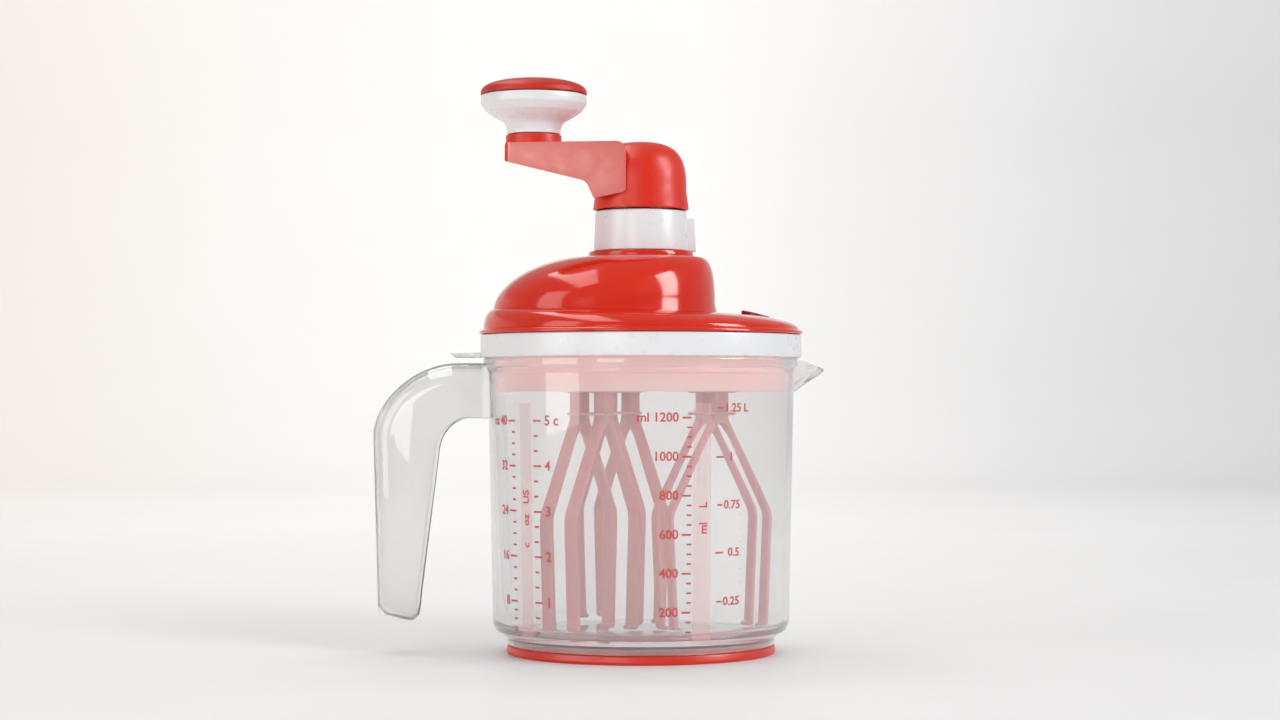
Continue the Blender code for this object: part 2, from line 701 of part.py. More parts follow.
def make_gear_tray(lid):
    groove_top = SEAL_FOOT + SEAL_HEIGHT + SEAT_GAP
    groove_foot = SEAL_FOOT - SEAT_GAP
    profile = [
        (0, TRAY_TOP),
        (TRAY_BORE, TRAY_TOP),
        (TRAY_BORE, FLANGE_TOP),
        (FLANGE_RADIUS, FLANGE_TOP),
        (FLANGE_RADIUS, LID_FOOT),
        (SKIRT_RADIUS, LID_FOOT),
        (SKIRT_RADIUS, groove_top),
        (SEAL_BORE, groove_top),
        (SEAL_BORE, groove_foot),
        (SKIRT_RADIUS, groove_foot),
        (SKIRT_RADIUS, SKIRT_FOOT),
        (TRAY_BORE, SKIRT_FOOT),
        (TRAY_BORE, TRAY_UNDERSIDE),
        (0, TRAY_UNDERSIDE),
    ]
    mesh = profile_mesh("gear_tray", profile, closed=False)
    tray = turn(link_part("gear_tray", mesh, lid, RED, 0.3), ROUND_STEPS)
    socket_foot = JOURNAL_FOOT - SEAT_GAP
    boss_radius = JOURNAL_RADIUS + LID_SHEET
    boss = prism_mesh("journal_boss", boss_radius, socket_foot - SKIRT_WALL, TRAY_TOP - SEAT_GAP)
    join(tray, link_tool("journal_boss", boss, lid))
    for place in post_places():
        post = prism_mesh("post", POST_RADIUS, TRAY_UNDERSIDE + SEAT_GAP, POST_TOP, place=place)
        join(tray, link_tool("post", post, lid))
    above = POST_TOP + LID_SHEET
    hole_radius = SCREW_RADIUS + SEAT_GAP
    for place in post_places():
        hole = prism_mesh("post_hole", hole_radius, SCREW_FOOT - SEAT_GAP, above, place=place)
        carve(tray, link_tool("post_hole", hole, lid))
    below = TRAY_UNDERSIDE - LID_SHEET
    for place in whisk_places():
        hole = prism_mesh("bush_seat", BUSH_RADIUS + SEAT_GAP, below, above, place=place)
        carve(tray, link_tool("bush_seat", hole, lid))
    filler = (FILLER_PLACE, 0)
    hole = prism_mesh("filler_seat", FILLER_RADIUS + SEAT_GAP, below, above, place=filler)
    carve(tray, link_tool("filler_seat", hole, lid))
    socket = prism_mesh("journal_socket", JOURNAL_RADIUS + RUNNING_GAP, socket_foot, above)
    carve(tray, link_tool("journal_socket", socket, lid))
    return tray


def make_lid_seal(lid):
    outer = jug_inner_radius(SEAL_FOOT) - SEAT_GAP
    inner = SEAL_BORE + SEAT_GAP
    top = SEAL_FOOT + SEAL_HEIGHT
    profile = [
        (outer, top),
        (outer, SEAL_FOOT),
        (inner, SEAL_FOOT),
        (inner, top),
    ]
    mesh = profile_mesh("lid_seal", profile, closed=True)
    return turn(link_part("lid_seal", mesh, lid, WHITE, 0.5), ROUND_STEPS)


def make_gear_plate(lid):
    outlines = [circle(TRAY_BORE - SEAT_GAP, ROUND_STEPS)]
    outlines.append(circle(SHAFT_BUSH_RADIUS + SEAT_GAP, SMALL_STEPS))
    outlines.append(circle(FILLER_RADIUS + SEAT_GAP, SMALL_STEPS, (FILLER_PLACE, 0)))
    for place in whisk_places():
        outlines.append(circle(SPINDLE_RADIUS + RUNNING_GAP, SMALL_STEPS, place))
    for place in post_places():
        outlines.append(circle(SCREW_RADIUS + SEAT_GAP, SMALL_STEPS, place))
    sheet = outline_mesh("gear_plate", outlines, LID_SHEET)
    mesh = raise_mesh(sheet, (PLATE_UNDERSIDE + PLATE_TOP) / 2)
    return link_part("gear_plate", mesh, lid, WHITE, 0.35)


def make_plate_screws(lid):
    head_foot = PLATE_TOP + SEAT_GAP
    head_top = head_foot + SCREW_HEAD_HEIGHT
    profile = [
        (0, head_top),
        (SCREW_HEAD_RADIUS - SOFT_EDGE, head_top),
        (SCREW_HEAD_RADIUS, head_top - SOFT_EDGE),
        (SCREW_HEAD_RADIUS, head_foot),
        (SCREW_RADIUS, head_foot),
        (SCREW_RADIUS, SCREW_FOOT),
        (0, SCREW_FOOT),
    ]
    for number, (x, y) in enumerate(post_places(), 1):
        name = f"plate_screw_{number}"
        mesh = profile_mesh(name, profile, closed=False)
        screw = turn(link_part(name, mesh, lid, STEEL, 0.3, 1.0), SMALL_STEPS)
        screw.location = (x, y, 0)


def bush(name, lid, place, bore, top, foot, flange_thickness):
    """A flanged bearing bush whose flange lies on its seat at the top."""
    outer = bore + BUSH_WALL
    flange = outer + BUSH_FLANGE
    seat = top - flange_thickness
    profile = [
        (flange, top),
        (flange, seat),
        (outer, seat),
        (outer, foot),
        (bore, foot),
        (bore, top),
    ]
    mesh = profile_mesh(name, profile, closed=True)
    made = turn(link_part(name, mesh, lid, NATURAL, 0.4), SMALL_STEPS)
    made.location = place
    return made


def make_bushes(lid):
    thin = GEAR_FLOAT - 2 * SEAT_GAP
    for number, (x, y) in enumerate(whisk_places(), 1):
        top = GEAR_FOOT - SEAT_GAP
        bore = SPINDLE_RADIUS + RUNNING_GAP
        bush(f"spindle_bush_{number}", lid, (x, y, 0), bore, top, TRAY_UNDERSIDE, thin)
    bore = SHAFT_RADIUS + RUNNING_GAP
    lower_top = PLATE_TOP + SEAT_GAP + thin
    bush("shaft_bush_lower", lid, (0, 0, 0), bore, lower_top, PLATE_UNDERSIDE + SEAT_GAP, thin)
    upper_foot = TURRET_TOP - TURRET_BUSH_LENGTH
    bush("shaft_bush_upper", lid, (0, 0, 0), bore, TURRET_TOP, upper_foot, thin)


def cover_bands(inset, disc_steps=DISC_STEPS, dome_steps=DOME_STEPS):
    """Rings up the disc and dome, as x and z on the handle side and x and z on the spout side."""
    edge = LID_RADIUS - DISC_EDGE_INSET - inset
    handle_crest = DOME_HANDLE_REACH - inset
    spout_crest = DOME_SPOUT_REACH + DOME_FILLET - inset
    handle_side = quarter(edge - handle_crest, HANDLE_SIDE_RISE - inset, 2, disc_steps)
    spout_side = quarter(edge - spout_crest, SPOUT_SIDE_RISE - inset, 2, disc_steps)
    rings = []
    for (u, v), (p, q) in zip(handle_side, spout_side):
        rings.append((-handle_crest - u, DISC_FOOT + v, spout_crest + p, DISC_FOOT + q))
    seat = SEAT_RING_RADIUS + SEAT_SHOULDER - inset
    spout_height = DOME_TOP - SPOUT_SIDE_CREST
    handle_dome = quarter(handle_crest - seat, DOME_HEIGHT, DOME_HANDLE_POWER, dome_steps)
    spout_reach = DOME_SPOUT_REACH - inset - seat
    spout_dome = quarter(spout_reach, spout_height, DOME_SPOUT_POWER, dome_steps)
    handle_foot = HANDLE_SIDE_CREST - inset
    spout_foot = SPOUT_SIDE_CREST - inset
    for (u, v), (p, q) in list(zip(handle_dome, spout_dome))[1:]:
        rings.append((-seat - u, handle_foot + v, seat + p, spout_foot + q))
    return rings


def level_ring(radius, height):
    return (-radius, height, radius, height)


def loft_mesh(name, rings, steps):
    """A ring-shaped solid through tilted circles, each given by its two ends in X and Z."""
    bm = bmesh.new()
    loops = []
    for x_left, z_left, x_right, z_right in rings:
        middle = (x_left + x_right) / 2
        radius = (x_right - x_left) / 2
        tilt = (z_right - z_left) / (x_right - x_left)
        loop = []
        for x, y in circle(radius, steps, (middle, 0)):
            loop.append(bm.verts.new((x, y, z_left + tilt * (x - x_left))))
        loops.append(loop)
    for lower, upper in zip(loops, loops[1:] + loops[:1]):
        for i in range(steps):
            j = (i + 1) % steps
            bm.faces.new((lower[i], lower[j], upper[j], upper[i]))
    return mesh_from(name, bm)


def cover_height(x):
    """The height of the disc's top on the spout side."""
    crest = DOME_SPOUT_REACH + DOME_FILLET
    share = (x - crest) / (LID_RADIUS - DISC_EDGE_INSET - crest)
    return DISC_FOOT + SPOUT_SIDE_RISE * math.sqrt(1 - share * share)


def make_top_cover(lid):
    lip = LID_RADIUS + COVER_OVERHANG
    hole = TURRET_PLUG_RADIUS + SEAT_GAP
    spigot_foot = LEDGE_TOP + SEAT_GAP
    spigot_bore = FLANGE_RADIUS - SPIGOT_WALL
    rings = [level_ring(lip, COVER_FOOT), level_ring(lip, COVER_FOOT + COVER_LIP)]
    rings += cover_bands(0)
    rings += [
        level_ring(SEAT_RING_RADIUS, DOME_TOP),
        level_ring(SEAT_RING_RADIUS, SEAT_RING_TOP - SOFT_EDGE),
        level_ring(SEAT_RING_RADIUS - SOFT_EDGE, SEAT_RING_TOP),
        level_ring(hole, SEAT_RING_TOP),
        level_ring(hole, DOME_TOP - COVER_WALL),
    ]
    rings += reversed(cover_bands(COVER_WALL, INSIDE_DISC_STEPS, INSIDE_DOME_STEPS))
    rings += [
        level_ring(spigot_bore, COVER_FOOT),
        level_ring(spigot_bore, spigot_foot),
        level_ring(FLANGE_RADIUS, spigot_foot),
        level_ring(FLANGE_RADIUS, COVER_FOOT),
    ]
    cover = link_part("top_cover", loft_mesh("top_cover", rings, ROUND_STEPS), lid, RED, 0.2)
    reach = 2 * FILLER_RADIUS
    hole = prism_mesh(
        "cover_filler_hole",
        FILLER_RADIUS + SEAT_GAP,
        COVER_FOOT - reach,
        COVER_FOOT + 2 * reach,
        place=(FILLER_PLACE, 0),
    )
    carve(cover, link_tool("cover_filler_hole", hole, lid))
    return cover


def make_filler_funnel(lid):
    top = cover_height(FILLER_PLACE) + FILLER_RISE
    flange_foot = TRAY_TOP + SEAT_GAP
    flange_top = flange_foot + FILLER_WALL
    profile = [
        (FILLER_RADIUS, top),
        (FILLER_RADIUS, flange_top),
        (FILLER_RADIUS + FILLER_FLANGE, flange_top),
        (FILLER_RADIUS + FILLER_FLANGE, flange_foot),
        (FILLER_RADIUS, flange_foot),
        (FILLER_RADIUS, TRAY_UNDERSIDE),
        (FILLER_BORE, TRAY_UNDERSIDE),
        (FILLER_BORE, top),
    ]
    mesh = profile_mesh("filler_funnel", profile, closed=True)
    funnel = turn(link_part("filler_funnel", mesh, lid, DARK_RED, 0.35), SMALL_STEPS)
    funnel.location.x = FILLER_PLACE
    reach = 3 * FILLER_RADIUS
    block = box_mesh("filler_slant", (-reach, -reach, 0), (reach, reach, reach))
    slant = link_tool("filler_slant", block, lid)
    slant.location = (FILLER_PLACE - FILLER_RADIUS, 0, top)
    slant.rotation_euler = (FILLER_SLANT / 2, FILLER_SLANT, 0)
    carve(funnel, slant)
    return funnel


def make_turret_collar(lid):
    crown = TURRET_TOP - TURRET_WALL - BUSH_FLANGE
    recess = SHAFT_BUSH_RADIUS + BUSH_FLANGE + SEAT_GAP
    recess_floor = TURRET_TOP - GEAR_FLOAT + SEAT_GAP
    plug_foot = TURRET_FOOT - TURRET_PLUG
    profile = [
        (TURRET_TOP_RADIUS - SOFT_EDGE, TURRET_TOP),
        (TURRET_TOP_RADIUS, TURRET_TOP - SOFT_EDGE),
        (TURRET_FOOT_RADIUS, TURRET_FOOT),
        (TURRET_PLUG_RADIUS, TURRET_FOOT),
        (TURRET_PLUG_RADIUS, plug_foot),
        (TURRET_PLUG_RADIUS - TURRET_WALL, plug_foot),
        (TURRET_PLUG_RADIUS - TURRET_WALL, crown),
        (TUBE_RADIUS, crown),
        (TUBE_RADIUS, TUBE_FOOT),
        (TUBE_BORE, TUBE_FOOT),
        (TUBE_BORE, recess_floor),
        (recess, recess_floor),
        (recess, TURRET_TOP),
    ]
    mesh = profile_mesh("turret_collar", profile, closed=True)
    turret = turn(link_part("turret_collar", mesh, lid, WHITE, 0.2), KNOB_STEPS)
    low = (TURRET_TOP_RADIUS - TURRET_WALL / 2, -TURRET_TAB_WIDTH / 2, TURRET_FOOT)
    high = (TURRET_TAB_REACH, TURRET_TAB_WIDTH / 2, TURRET_FOOT + TURRET_TAB_HEIGHT)
    tab = link_tool("turret_tab", box_mesh("turret_tab", low, high), lid)
    tab.rotation_euler.z = TURRET_TAB_TURN
    join(turret, tab)
    return turret


def involute(angle):
    return math.tan(angle) - angle


def gear_outline(teeth):
    """Teeth with involute flanks, the first of them centred on +X."""
    pitch_radius = MODULE * teeth / 2
    base_radius = pitch_radius * math.cos(PRESSURE_ANGLE)
    tip_radius = pitch_radius + ADDENDUM * MODULE
    root_radius = pitch_radius - DEDENDUM * MODULE
    flank_foot = max(base_radius, root_radius)
    half_at_pitch = math.pi / (2 * teeth) - BACKLASH / (2 * pitch_radius)
    flank = []
    for radius in (flank_foot, tip_radius):
        slope = math.acos(min(base_radius / radius, 1.0))
        flank.append((radius, half_at_pitch + involute(PRESSURE_ANGLE) - involute(slope)))
    side = flank
    if flank_foot > root_radius:
        side = [(root_radius, flank[0][1]), flank[1]]
    points = []
    for tooth in range(teeth):
        middle = math.tau * tooth / teeth
        for radius, half in side:
            points.append((radius * math.cos(middle - half), radius * math.sin(middle - half)))
        for radius, half in reversed(side):
            points.append((radius * math.cos(middle + half), radius * math.sin(middle + half)))
    return points


def make_sun_gear(crank):
    root = MODULE * (SUN_TEETH / 2 - DEDENDUM)
    window_circle = (root + SUN_HUB_RADIUS) / 2
    outlines = [gear_outline(SUN_TEETH)]
    for x, y in circle(window_circle, SUN_WINDOWS):
        outlines.append(circle(SUN_WINDOW_RADIUS, SMALL_STEPS, (x, y)))
    mesh = raise_mesh(outline_mesh("sun_gear", outlines, GEAR_WIDTH), (GEAR_FOOT + GEAR_TOP) / 2)
    gear = link_part("sun_gear", mesh, crank, WHITE, 0.4)
    hub = prism_mesh("sun_hub", SUN_HUB_RADIUS, SUN_HUB_FOOT, SUN_HUB_TOP)
    join(gear, link_tool("sun_hub", hub, crank))
    bore_radius = SHAFT_HEX + SEAT_GAP / math.cos(math.pi / 6)
    bore_foot = SUN_HUB_FOOT - GEAR_FLOAT
    carve(gear, hex_tool("sun_bore", bore_radius, bore_foot, SUN_HUB_TOP + GEAR_FLOAT, crank))
    return gear


def make_drive_shaft(crank):
    clip_top = TUBE_FOOT - SEAT_GAP
    clip_foot = clip_top - CIRCLIP_THICKNESS
    groove = SHAFT_RADIUS - CIRCLIP_GROOVE
    profile = [
        (0, HUB_FOOT),
        (SHAFT_RADIUS, HUB_FOOT),
        (SHAFT_RADIUS, clip_top + SEAT_GAP / 2),
        (groove, clip_top + SEAT_GAP / 2),
        (groove, clip_foot - SEAT_GAP / 2),
        (SHAFT_RADIUS, clip_foot - SEAT_GAP / 2),
        (SHAFT_RADIUS, SUN_HUB_TOP + SEAT_GAP),
        (JOURNAL_RADIUS, SUN_HUB_TOP + SEAT_GAP),
        (JOURNAL_RADIUS, JOURNAL_FOOT),
        (0, JOURNAL_FOOT),
    ]
    mesh = profile_mesh("drive_shaft", profile, closed=False)
    shaft = turn(link_part("drive_shaft", mesh, crank, WHITE, 0.35), SMALL_STEPS)
    join(shaft, hex_tool("lower_hex", SHAFT_HEX, SUN_HUB_FOOT, SUN_HUB_TOP + GEAR_FLOAT, crank))
    grip_top = HUB_FOOT + SHAFT_HEX_GRIP
    join(shaft, hex_tool("upper_hex", SHAFT_HEX, HUB_FOOT - GEAR_FLOAT, grip_top, crank))
    outer = circle(CIRCLIP_RADIUS, KNOB_STEPS)[2:-1]
    inner = circle(groove + SEAT_GAP, KNOB_STEPS)[2:-1]
    clip_mesh = outline_mesh("shaft_circlip", [outer + inner[::-1]], CIRCLIP_THICKNESS)
    clip = raise_mesh(clip_mesh, (clip_foot + clip_top) / 2)
    link_part("shaft_circlip", clip, crank, STEEL, 0.3, 1.0)
    return shaft


def arm_side_outline():
    """The arm's front face: a level top, a sloping underside and a bend down to the hub's skirt."""
    tip = -(CRANK_THROW + ARM_END)
    corners = [
        (tip / 2, ARM_TOP, 0),
        (tip, ARM_TOP, SOFT_EDGE),
        (tip, ARM_TOP - ARM_TIP_DEPTH, 2 * SOFT_EDGE),
        (-HUB_RADIUS - ARM_BEND_REACH, ARM_TOP - ARM_BEND_DEPTH, ARM_BEND_RADIUS),
        (-HUB_RADIUS + SOFT_EDGE, HUB_FOOT + ARM_HEEL_HEIGHT, SOFT_EDGE),
        (-ARM_FACE_INSET, HUB_FOOT + ARM_FACE_HEIGHT, ARM_FACE_FOOT_RADIUS),
        (-ARM_FACE_INSET, ARM_TOP, ARM_FACE_RADIUS),
        (tip / 2, ARM_TOP, 0),
    ]
    return rounded(corners)[:-1]


def make_arm_tool(crank):
    """A slab with the arm's side outline, cut to its plan, its underside rising away from the front."""
    width = 3 * ARM_ROOT_HALF_WIDTH
    front = (ARM_TIP_HALF_WIDTH + ARM_ROOT_HALF_WIDTH) / 2
    slab_mesh = stand_up(outline_mesh("arm_side", [arm_side_outline()], width))
    for vertex in slab_mesh.vertices:
        if vertex.co.z < ARM_TOP - ARM_TIP_DEPTH / 2:
            vertex.co.z += ARM_UNDERSIDE_SLOPE * (vertex.co.y + front)
    slab = link_tool("arm_side", slab_mesh, crank)
    tip = -(CRANK_THROW + ARM_END)
    plan = [
        (0, ARM_ROOT_HALF_WIDTH, 0),
        (tip, ARM_TIP_HALF_WIDTH, ARM_TIP_RADIUS),
        (tip, -ARM_TIP_HALF_WIDTH, ARM_TIP_RADIUS),
        (0, -ARM_ROOT_HALF_WIDTH, 0),
    ]
    plan_mesh = raise_mesh(outline_mesh("arm_plan", [rounded(plan)], 3 * HUB_HEIGHT), HUB_TOP)
    boolean(slab, link_tool("arm_plan", plan_mesh, crank), "INTERSECT")
    return slab


def make_crank_arm(crank):
    shoulder = HUB_FOOT + HUB_SHOULDER_HEIGHT
    dome = quarter(HUB_SHOULDER_RADIUS, HUB_TOP - shoulder, HUB_POWER, HUB_DOME_STEPS)
    skirt = HUB_RADIUS - TURRET_WALL
    profile = [(r, shoulder + h) for r, h in reversed(dome)]
    profile += [
        (HUB_RADIUS, HUB_FOOT),
        (skirt, HUB_FOOT),
        (skirt, HUB_FOOT + HUB_RECESS),
        (0, HUB_FOOT + HUB_RECESS),
    ]
    mesh = profile_mesh("crank_arm", profile, closed=False)
    arm = turn(link_part("crank_arm", mesh, crank, RED, 0.2), KNOB_STEPS)
    place = (-CRANK_THROW, 0)
    boss_foot = ARM_TOP - ARM_TIP_DEPTH / 2
    boss = prism_mesh("knob_boss", BOSS_RADIUS, boss_foot, BOSS_TOP, KNOB_STEPS, place)
    join(arm, make_arm_tool(crank), link_tool("knob_boss", boss, crank))
    bore_radius = SHAFT_HEX + SEAT_GAP / math.cos(math.pi / 6)
    socket_top = HUB_FOOT + SHAFT_HEX_GRIP + SEAT_GAP
    carve(arm, hex_tool("hub_socket", bore_radius, HUB_FOOT - HUB_RECESS, socket_top, crank))
    axle_foot = BOSS_TOP - AXLE_DEPTH - SEAT_GAP
    hole_radius = AXLE_RADIUS + SEAT_GAP
    hole = prism_mesh("axle_hole", hole_radius, axle_foot, BOSS_TOP + HUB_RECESS, place=place)
    carve(arm, link_tool("axle_hole", hole, crank))
    return arm


def make_knob(crank, knob):
    body_top = KNOB_FOOT + KNOB_BODY_HEIGHT
    cavity_floor = body_top - KNOB_CAVITY_DEPTH
    band = body_top - KNOB_BAND_HEIGHT
    neck = KNOB_FOOT + KNOB_NECK_HEIGHT
    profile = [(KNOB_RADIUS - SOFT_EDGE / 2, body_top)]
    for i in range(KNOB_FLARE_STEPS + 1):
        share = 1 - i / KNOB_FLARE_STEPS
        flare = share * share * (3 - 2 * share)
        radius = KNOB_NECK_RADIUS + flare * (KNOB_RADIUS - KNOB_NECK_RADIUS)
        profile.append((radius, neck + share * (band - neck)))
    profile += [
        (KNOB_NECK_RADIUS, KNOB_FOOT),
        (AXLE_RADIUS + RUNNING_GAP, KNOB_FOOT),
        (AXLE_RADIUS + RUNNING_GAP, cavity_floor),
        (KNOB_CAVITY_RADIUS, cavity_floor),
        (KNOB_CAVITY_RADIUS, body_top),
    ]
    mesh = profile_mesh("knob_body", profile, closed=True)
    turn(link_part("knob_body", mesh, knob, WHITE, 0.2), KNOB_STEPS)

    crown = quarter(KNOB_RADIUS, KNOB_CAP_HEIGHT, KNOB_CAP_POWER, KNOB_CAP_STEPS)
    cap = [(r, KNOB_CAP_FOOT + h) for r, h in reversed(crown)]
    plug = KNOB_CAVITY_RADIUS - SEAT_GAP
    plug_foot = KNOB_CAP_FOOT - AXLE_HEAD_HEIGHT
    cap += [(plug, KNOB_CAP_FOOT), (plug, plug_foot), (0, plug_foot)]
    mesh = profile_mesh("knob_cap", cap, closed=False)
    turn(link_part("knob_cap", mesh, knob, RED, 0.2), KNOB_STEPS)

    head_foot = cavity_floor + SEAT_GAP
    head_top = head_foot + AXLE_HEAD_HEIGHT
    axle_foot = BOSS_TOP - AXLE_DEPTH
    axle = [
        (0, head_top),
        (AXLE_HEAD_RADIUS - SOFT_EDGE, head_top),
        (AXLE_HEAD_RADIUS, head_top - SOFT_EDGE),
        (AXLE_HEAD_RADIUS, head_foot),
        (AXLE_RADIUS, head_foot),
        (AXLE_RADIUS, axle_foot),
        (0, axle_foot),
    ]
    mesh = profile_mesh("knob_axle", axle, closed=False)
    pin = turn(link_part("knob_axle", mesh, crank, STEEL, 0.3, 1.0), SMALL_STEPS)
    pin.location.x = -CRANK_THROW


def make_pinion(name, whisk, phase):
    mesh = outline_mesh(name, [gear_outline(PINION_TEETH)], GEAR_WIDTH)
    pinion = link_part(name, raise_mesh(mesh, (GEAR_FOOT + GEAR_TOP) / 2), whisk, NATURAL, 0.4)
    pinion.rotation_euler.z = phase
    spindle_foot = TRAY_UNDERSIDE - SEAT_GAP
    spindle = prism_mesh(name + "_spindle", SPINDLE_RADIUS, spindle_foot, PLATE_TOP)
    square_foot = SOCKET_FOOT + SEAT_GAP
    low = (-SQUARE_HALF, -SQUARE_HALF, square_foot)
    high = (SQUARE_HALF, SQUARE_HALF, TRAY_TOP)
    square = box_mesh(name + "_square", low, high)
    join(pinion, link_tool(name + "_spindle", spindle, whisk))
    join(pinion, link_tool(name + "_square", square, whisk))
    return pinion


def stem_cutters(name, whisk, foot, top):
    """Boxes round the stems of the two frames."""
    tools = []
    for side in (-1, 1):
        middle = side * FRAME_SPACING / 2
        half = FRAME_WIDTH / 2 + SEAT_GAP
        across = STEM_HALF_WIDTH + SEAT_GAP
        mesh = box_mesh(name, (-across, middle - half, foot), (across, middle + half, top))
        tools.append(link_tool(name, mesh, whisk))
    return tools


def make_whisk_hub(name, whisk):
    rim = WHISK_HUB_RADIUS
    profile = [
        (0, WHISK_HUB_TOP),
        (rim - SOFT_EDGE, WHISK_HUB_TOP),
        (rim, WHISK_HUB_TOP - SOFT_EDGE),
        (rim, WHISK_HUB_FOOT),
        (0, WHISK_HUB_FOOT),
    ]
    mesh = profile_mesh(name, profile, closed=False)
    hub = turn(link_part(name, mesh, whisk, WHISK_PINK, 0.35), KNOB_STEPS)
    half = SQUARE_HALF + SEAT_GAP
    low = (-half, -half, SOCKET_FOOT)
    socket = box_mesh(name + "_socket", low, (half, half, WHISK_HUB_TOP + LID_SHEET))
    carve(hub, link_tool(name + "_socket", socket, whisk))
    slot_top = WHISK_HUB_FOOT + FRAME_SLOT_DEPTH + SEAT_GAP
    carve(hub, *stem_cutters(name + "_slot", whisk, WHISK_HUB_FOOT - LID_SHEET, slot_top))
    return hub


def frame_outline():
    """An upside-down Y of ribbon, drawn from the top of its stem round the right leg and back."""
    stem_top = WHISK_HUB_FOOT + FRAME_SLOT_DEPTH
    toe = ANKLE_REACH - TOE_LENGTH
    outer = [
        (STEM_HALF_WIDTH, stem_top, 0),
        (STEM_HALF_WIDTH, STEM_SHOULDER, STEM_RADIUS),
        (KNEE_REACH, KNEE_HEIGHT, KNEE_RADIUS),
        (ANKLE_REACH, TIP_HEIGHT, 1.6 * RIBBON),
        (toe, TIP_HEIGHT, 0),
    ]
    inner = [
        (toe, TIP_HEIGHT + RIBBON, 0),
        (ANKLE_REACH - RIBBON, TIP_HEIGHT + RIBBON, RIBBON / 2),
        (KNEE_REACH - RIBBON, KNEE_HEIGHT - RIBBON / 3, KNEE_RADIUS - RIBBON),
        (CROTCH_BLEND, CROTCH_HEIGHT - CROTCH_BLEND, CROTCH_RADIUS),
        (0, CROTCH_HEIGHT + RIBBON, 1.6 * RIBBON),
    ]
    right = rounded(outer)
    mirrored = [(-x, y, r) for x, y, r in reversed(inner[:-1])]
    inside = rounded(inner + mirrored)
    left = [(-x, y) for x, y in reversed(right)]
    return right + inside + left


def make_whisk_frame(name, whisk, side):
    mesh = stand_up(outline_mesh(name, [frame_outline()], FRAME_WIDTH))
    frame = link_part(name, mesh, whisk, WHISK_PINK, 0.35)
    frame.location.y = side * FRAME_SPACING / 2
    return frame


def make_whisk_spacer(name, whisk):
    top = SPACER_FOOT + SPACER_THICKNESS
    disc = prism_mesh(name, SPACER_RADIUS, SPACER_FOOT, top, KNOB_STEPS)
    spacer = link_part(name, disc, whisk, WHISK_PINK, 0.35)
    hole_foot = SPACER_FOOT - LID_SHEET
    carve(spacer, *stem_cutters(name + "_hole", whisk, hole_foot, top + LID_SHEET))
    return spacer


def make_whisk(number, axis):
    direction = WHISK_DIRECTIONS[number - 1]
    turned = WHISK_TURNS[number - 1]
    x, y = whisk_places()[number - 1]
    whisk = new_empty(f"whisk_{number}_axis", axis, (x, y, 0), turned)
    in_mesh = direction * (1 + SUN_TEETH / PINION_TEETH) + math.pi * (1 + 1 / PINION_TEETH)
    make_pinion(f"pinion_{number}", whisk, in_mesh - turned)
    make_whisk_hub(f"whisk_hub_{number}", whisk)
    make_whisk_spacer(f"whisk_spacer_{number}", whisk)
    make_whisk_frame(f"whisk_frame_{number}a", whisk, -1)
    make_whisk_frame(f"whisk_frame_{number}b", whisk, 1)


def settle_shapes():
    """Applies each part's modifiers and shades its round faces smooth."""
    bpy.context.view_layer.update()
    graph = bpy.context.evaluated_depsgraph_get()
    settled = {}
    for part in PARTS.objects:
        if part.type == "MESH":
            settled[part] = bpy.data.meshes.new_from_object(part.evaluated_get(graph))
    for part, mesh in settled.items():
        part.modifiers.clear()
        part.data = mesh
        mesh.shade_smooth()
        mesh.set_sharp_from_angle(angle=SHARP_ANGLE)


def build():
    axis = new_empty("jug_axis", place=(AXIS_X, 0, 0))
    lid = new_empty("lid_axis", axis)
    crank = new_empty("crank_axis", axis)
    knob = new_empty("knob_axis", crank, (-CRANK_THROW, 0, 0))
    make_base_ring(axis)
    make_jug(axis)
    make_lid_ring(lid)
    make_gear_tray(lid)
    make_lid_seal(lid)
    make_gear_plate(lid)
    make_plate_screws(lid)
    make_bushes(lid)
    make_top_cover(lid)
    make_filler_funnel(lid)
    make_turret_collar(lid)
    make_sun_gear(crank)
    make_drive_shaft(crank)
    make_crank_arm(crank)
    make_knob(crank, knob)
    for number in (1, 2, 3):
        make_whisk(number, axis)
    settle_shapes()


build()
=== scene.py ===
"""Dressed model of a hand crank mixer: a clear jug with scales, a geared lid, a crank and three whisks.

Shapes are written in millimetres from the jug's axis, with +X towards the spout and the ground at 0.
"""

import json
import math

import bmesh
import bpy
from mathutils import Matrix, Vector


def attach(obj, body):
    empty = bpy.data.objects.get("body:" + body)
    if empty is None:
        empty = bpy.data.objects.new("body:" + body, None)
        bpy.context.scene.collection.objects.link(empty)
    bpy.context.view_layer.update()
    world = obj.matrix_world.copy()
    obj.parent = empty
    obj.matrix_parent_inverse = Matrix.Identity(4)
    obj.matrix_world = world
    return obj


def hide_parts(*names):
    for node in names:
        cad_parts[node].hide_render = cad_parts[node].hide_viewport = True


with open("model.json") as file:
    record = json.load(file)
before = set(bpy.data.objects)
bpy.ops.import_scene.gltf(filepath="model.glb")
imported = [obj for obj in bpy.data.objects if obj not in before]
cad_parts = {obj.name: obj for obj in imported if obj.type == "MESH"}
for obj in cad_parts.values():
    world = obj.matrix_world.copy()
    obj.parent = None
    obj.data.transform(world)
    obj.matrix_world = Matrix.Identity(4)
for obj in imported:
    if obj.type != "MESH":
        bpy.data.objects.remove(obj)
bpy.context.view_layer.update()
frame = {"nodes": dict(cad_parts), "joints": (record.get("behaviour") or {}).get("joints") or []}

MM = 0.001
JOINTS = {joint["name"]: joint for joint in frame["joints"]}
AXIS = Vector((JOINTS["crank_spin"]["pos_m"][0], 0, 0))
ROUND = 144
SHARP = math.radians(38)
ONE_DEGREE = math.radians(1)

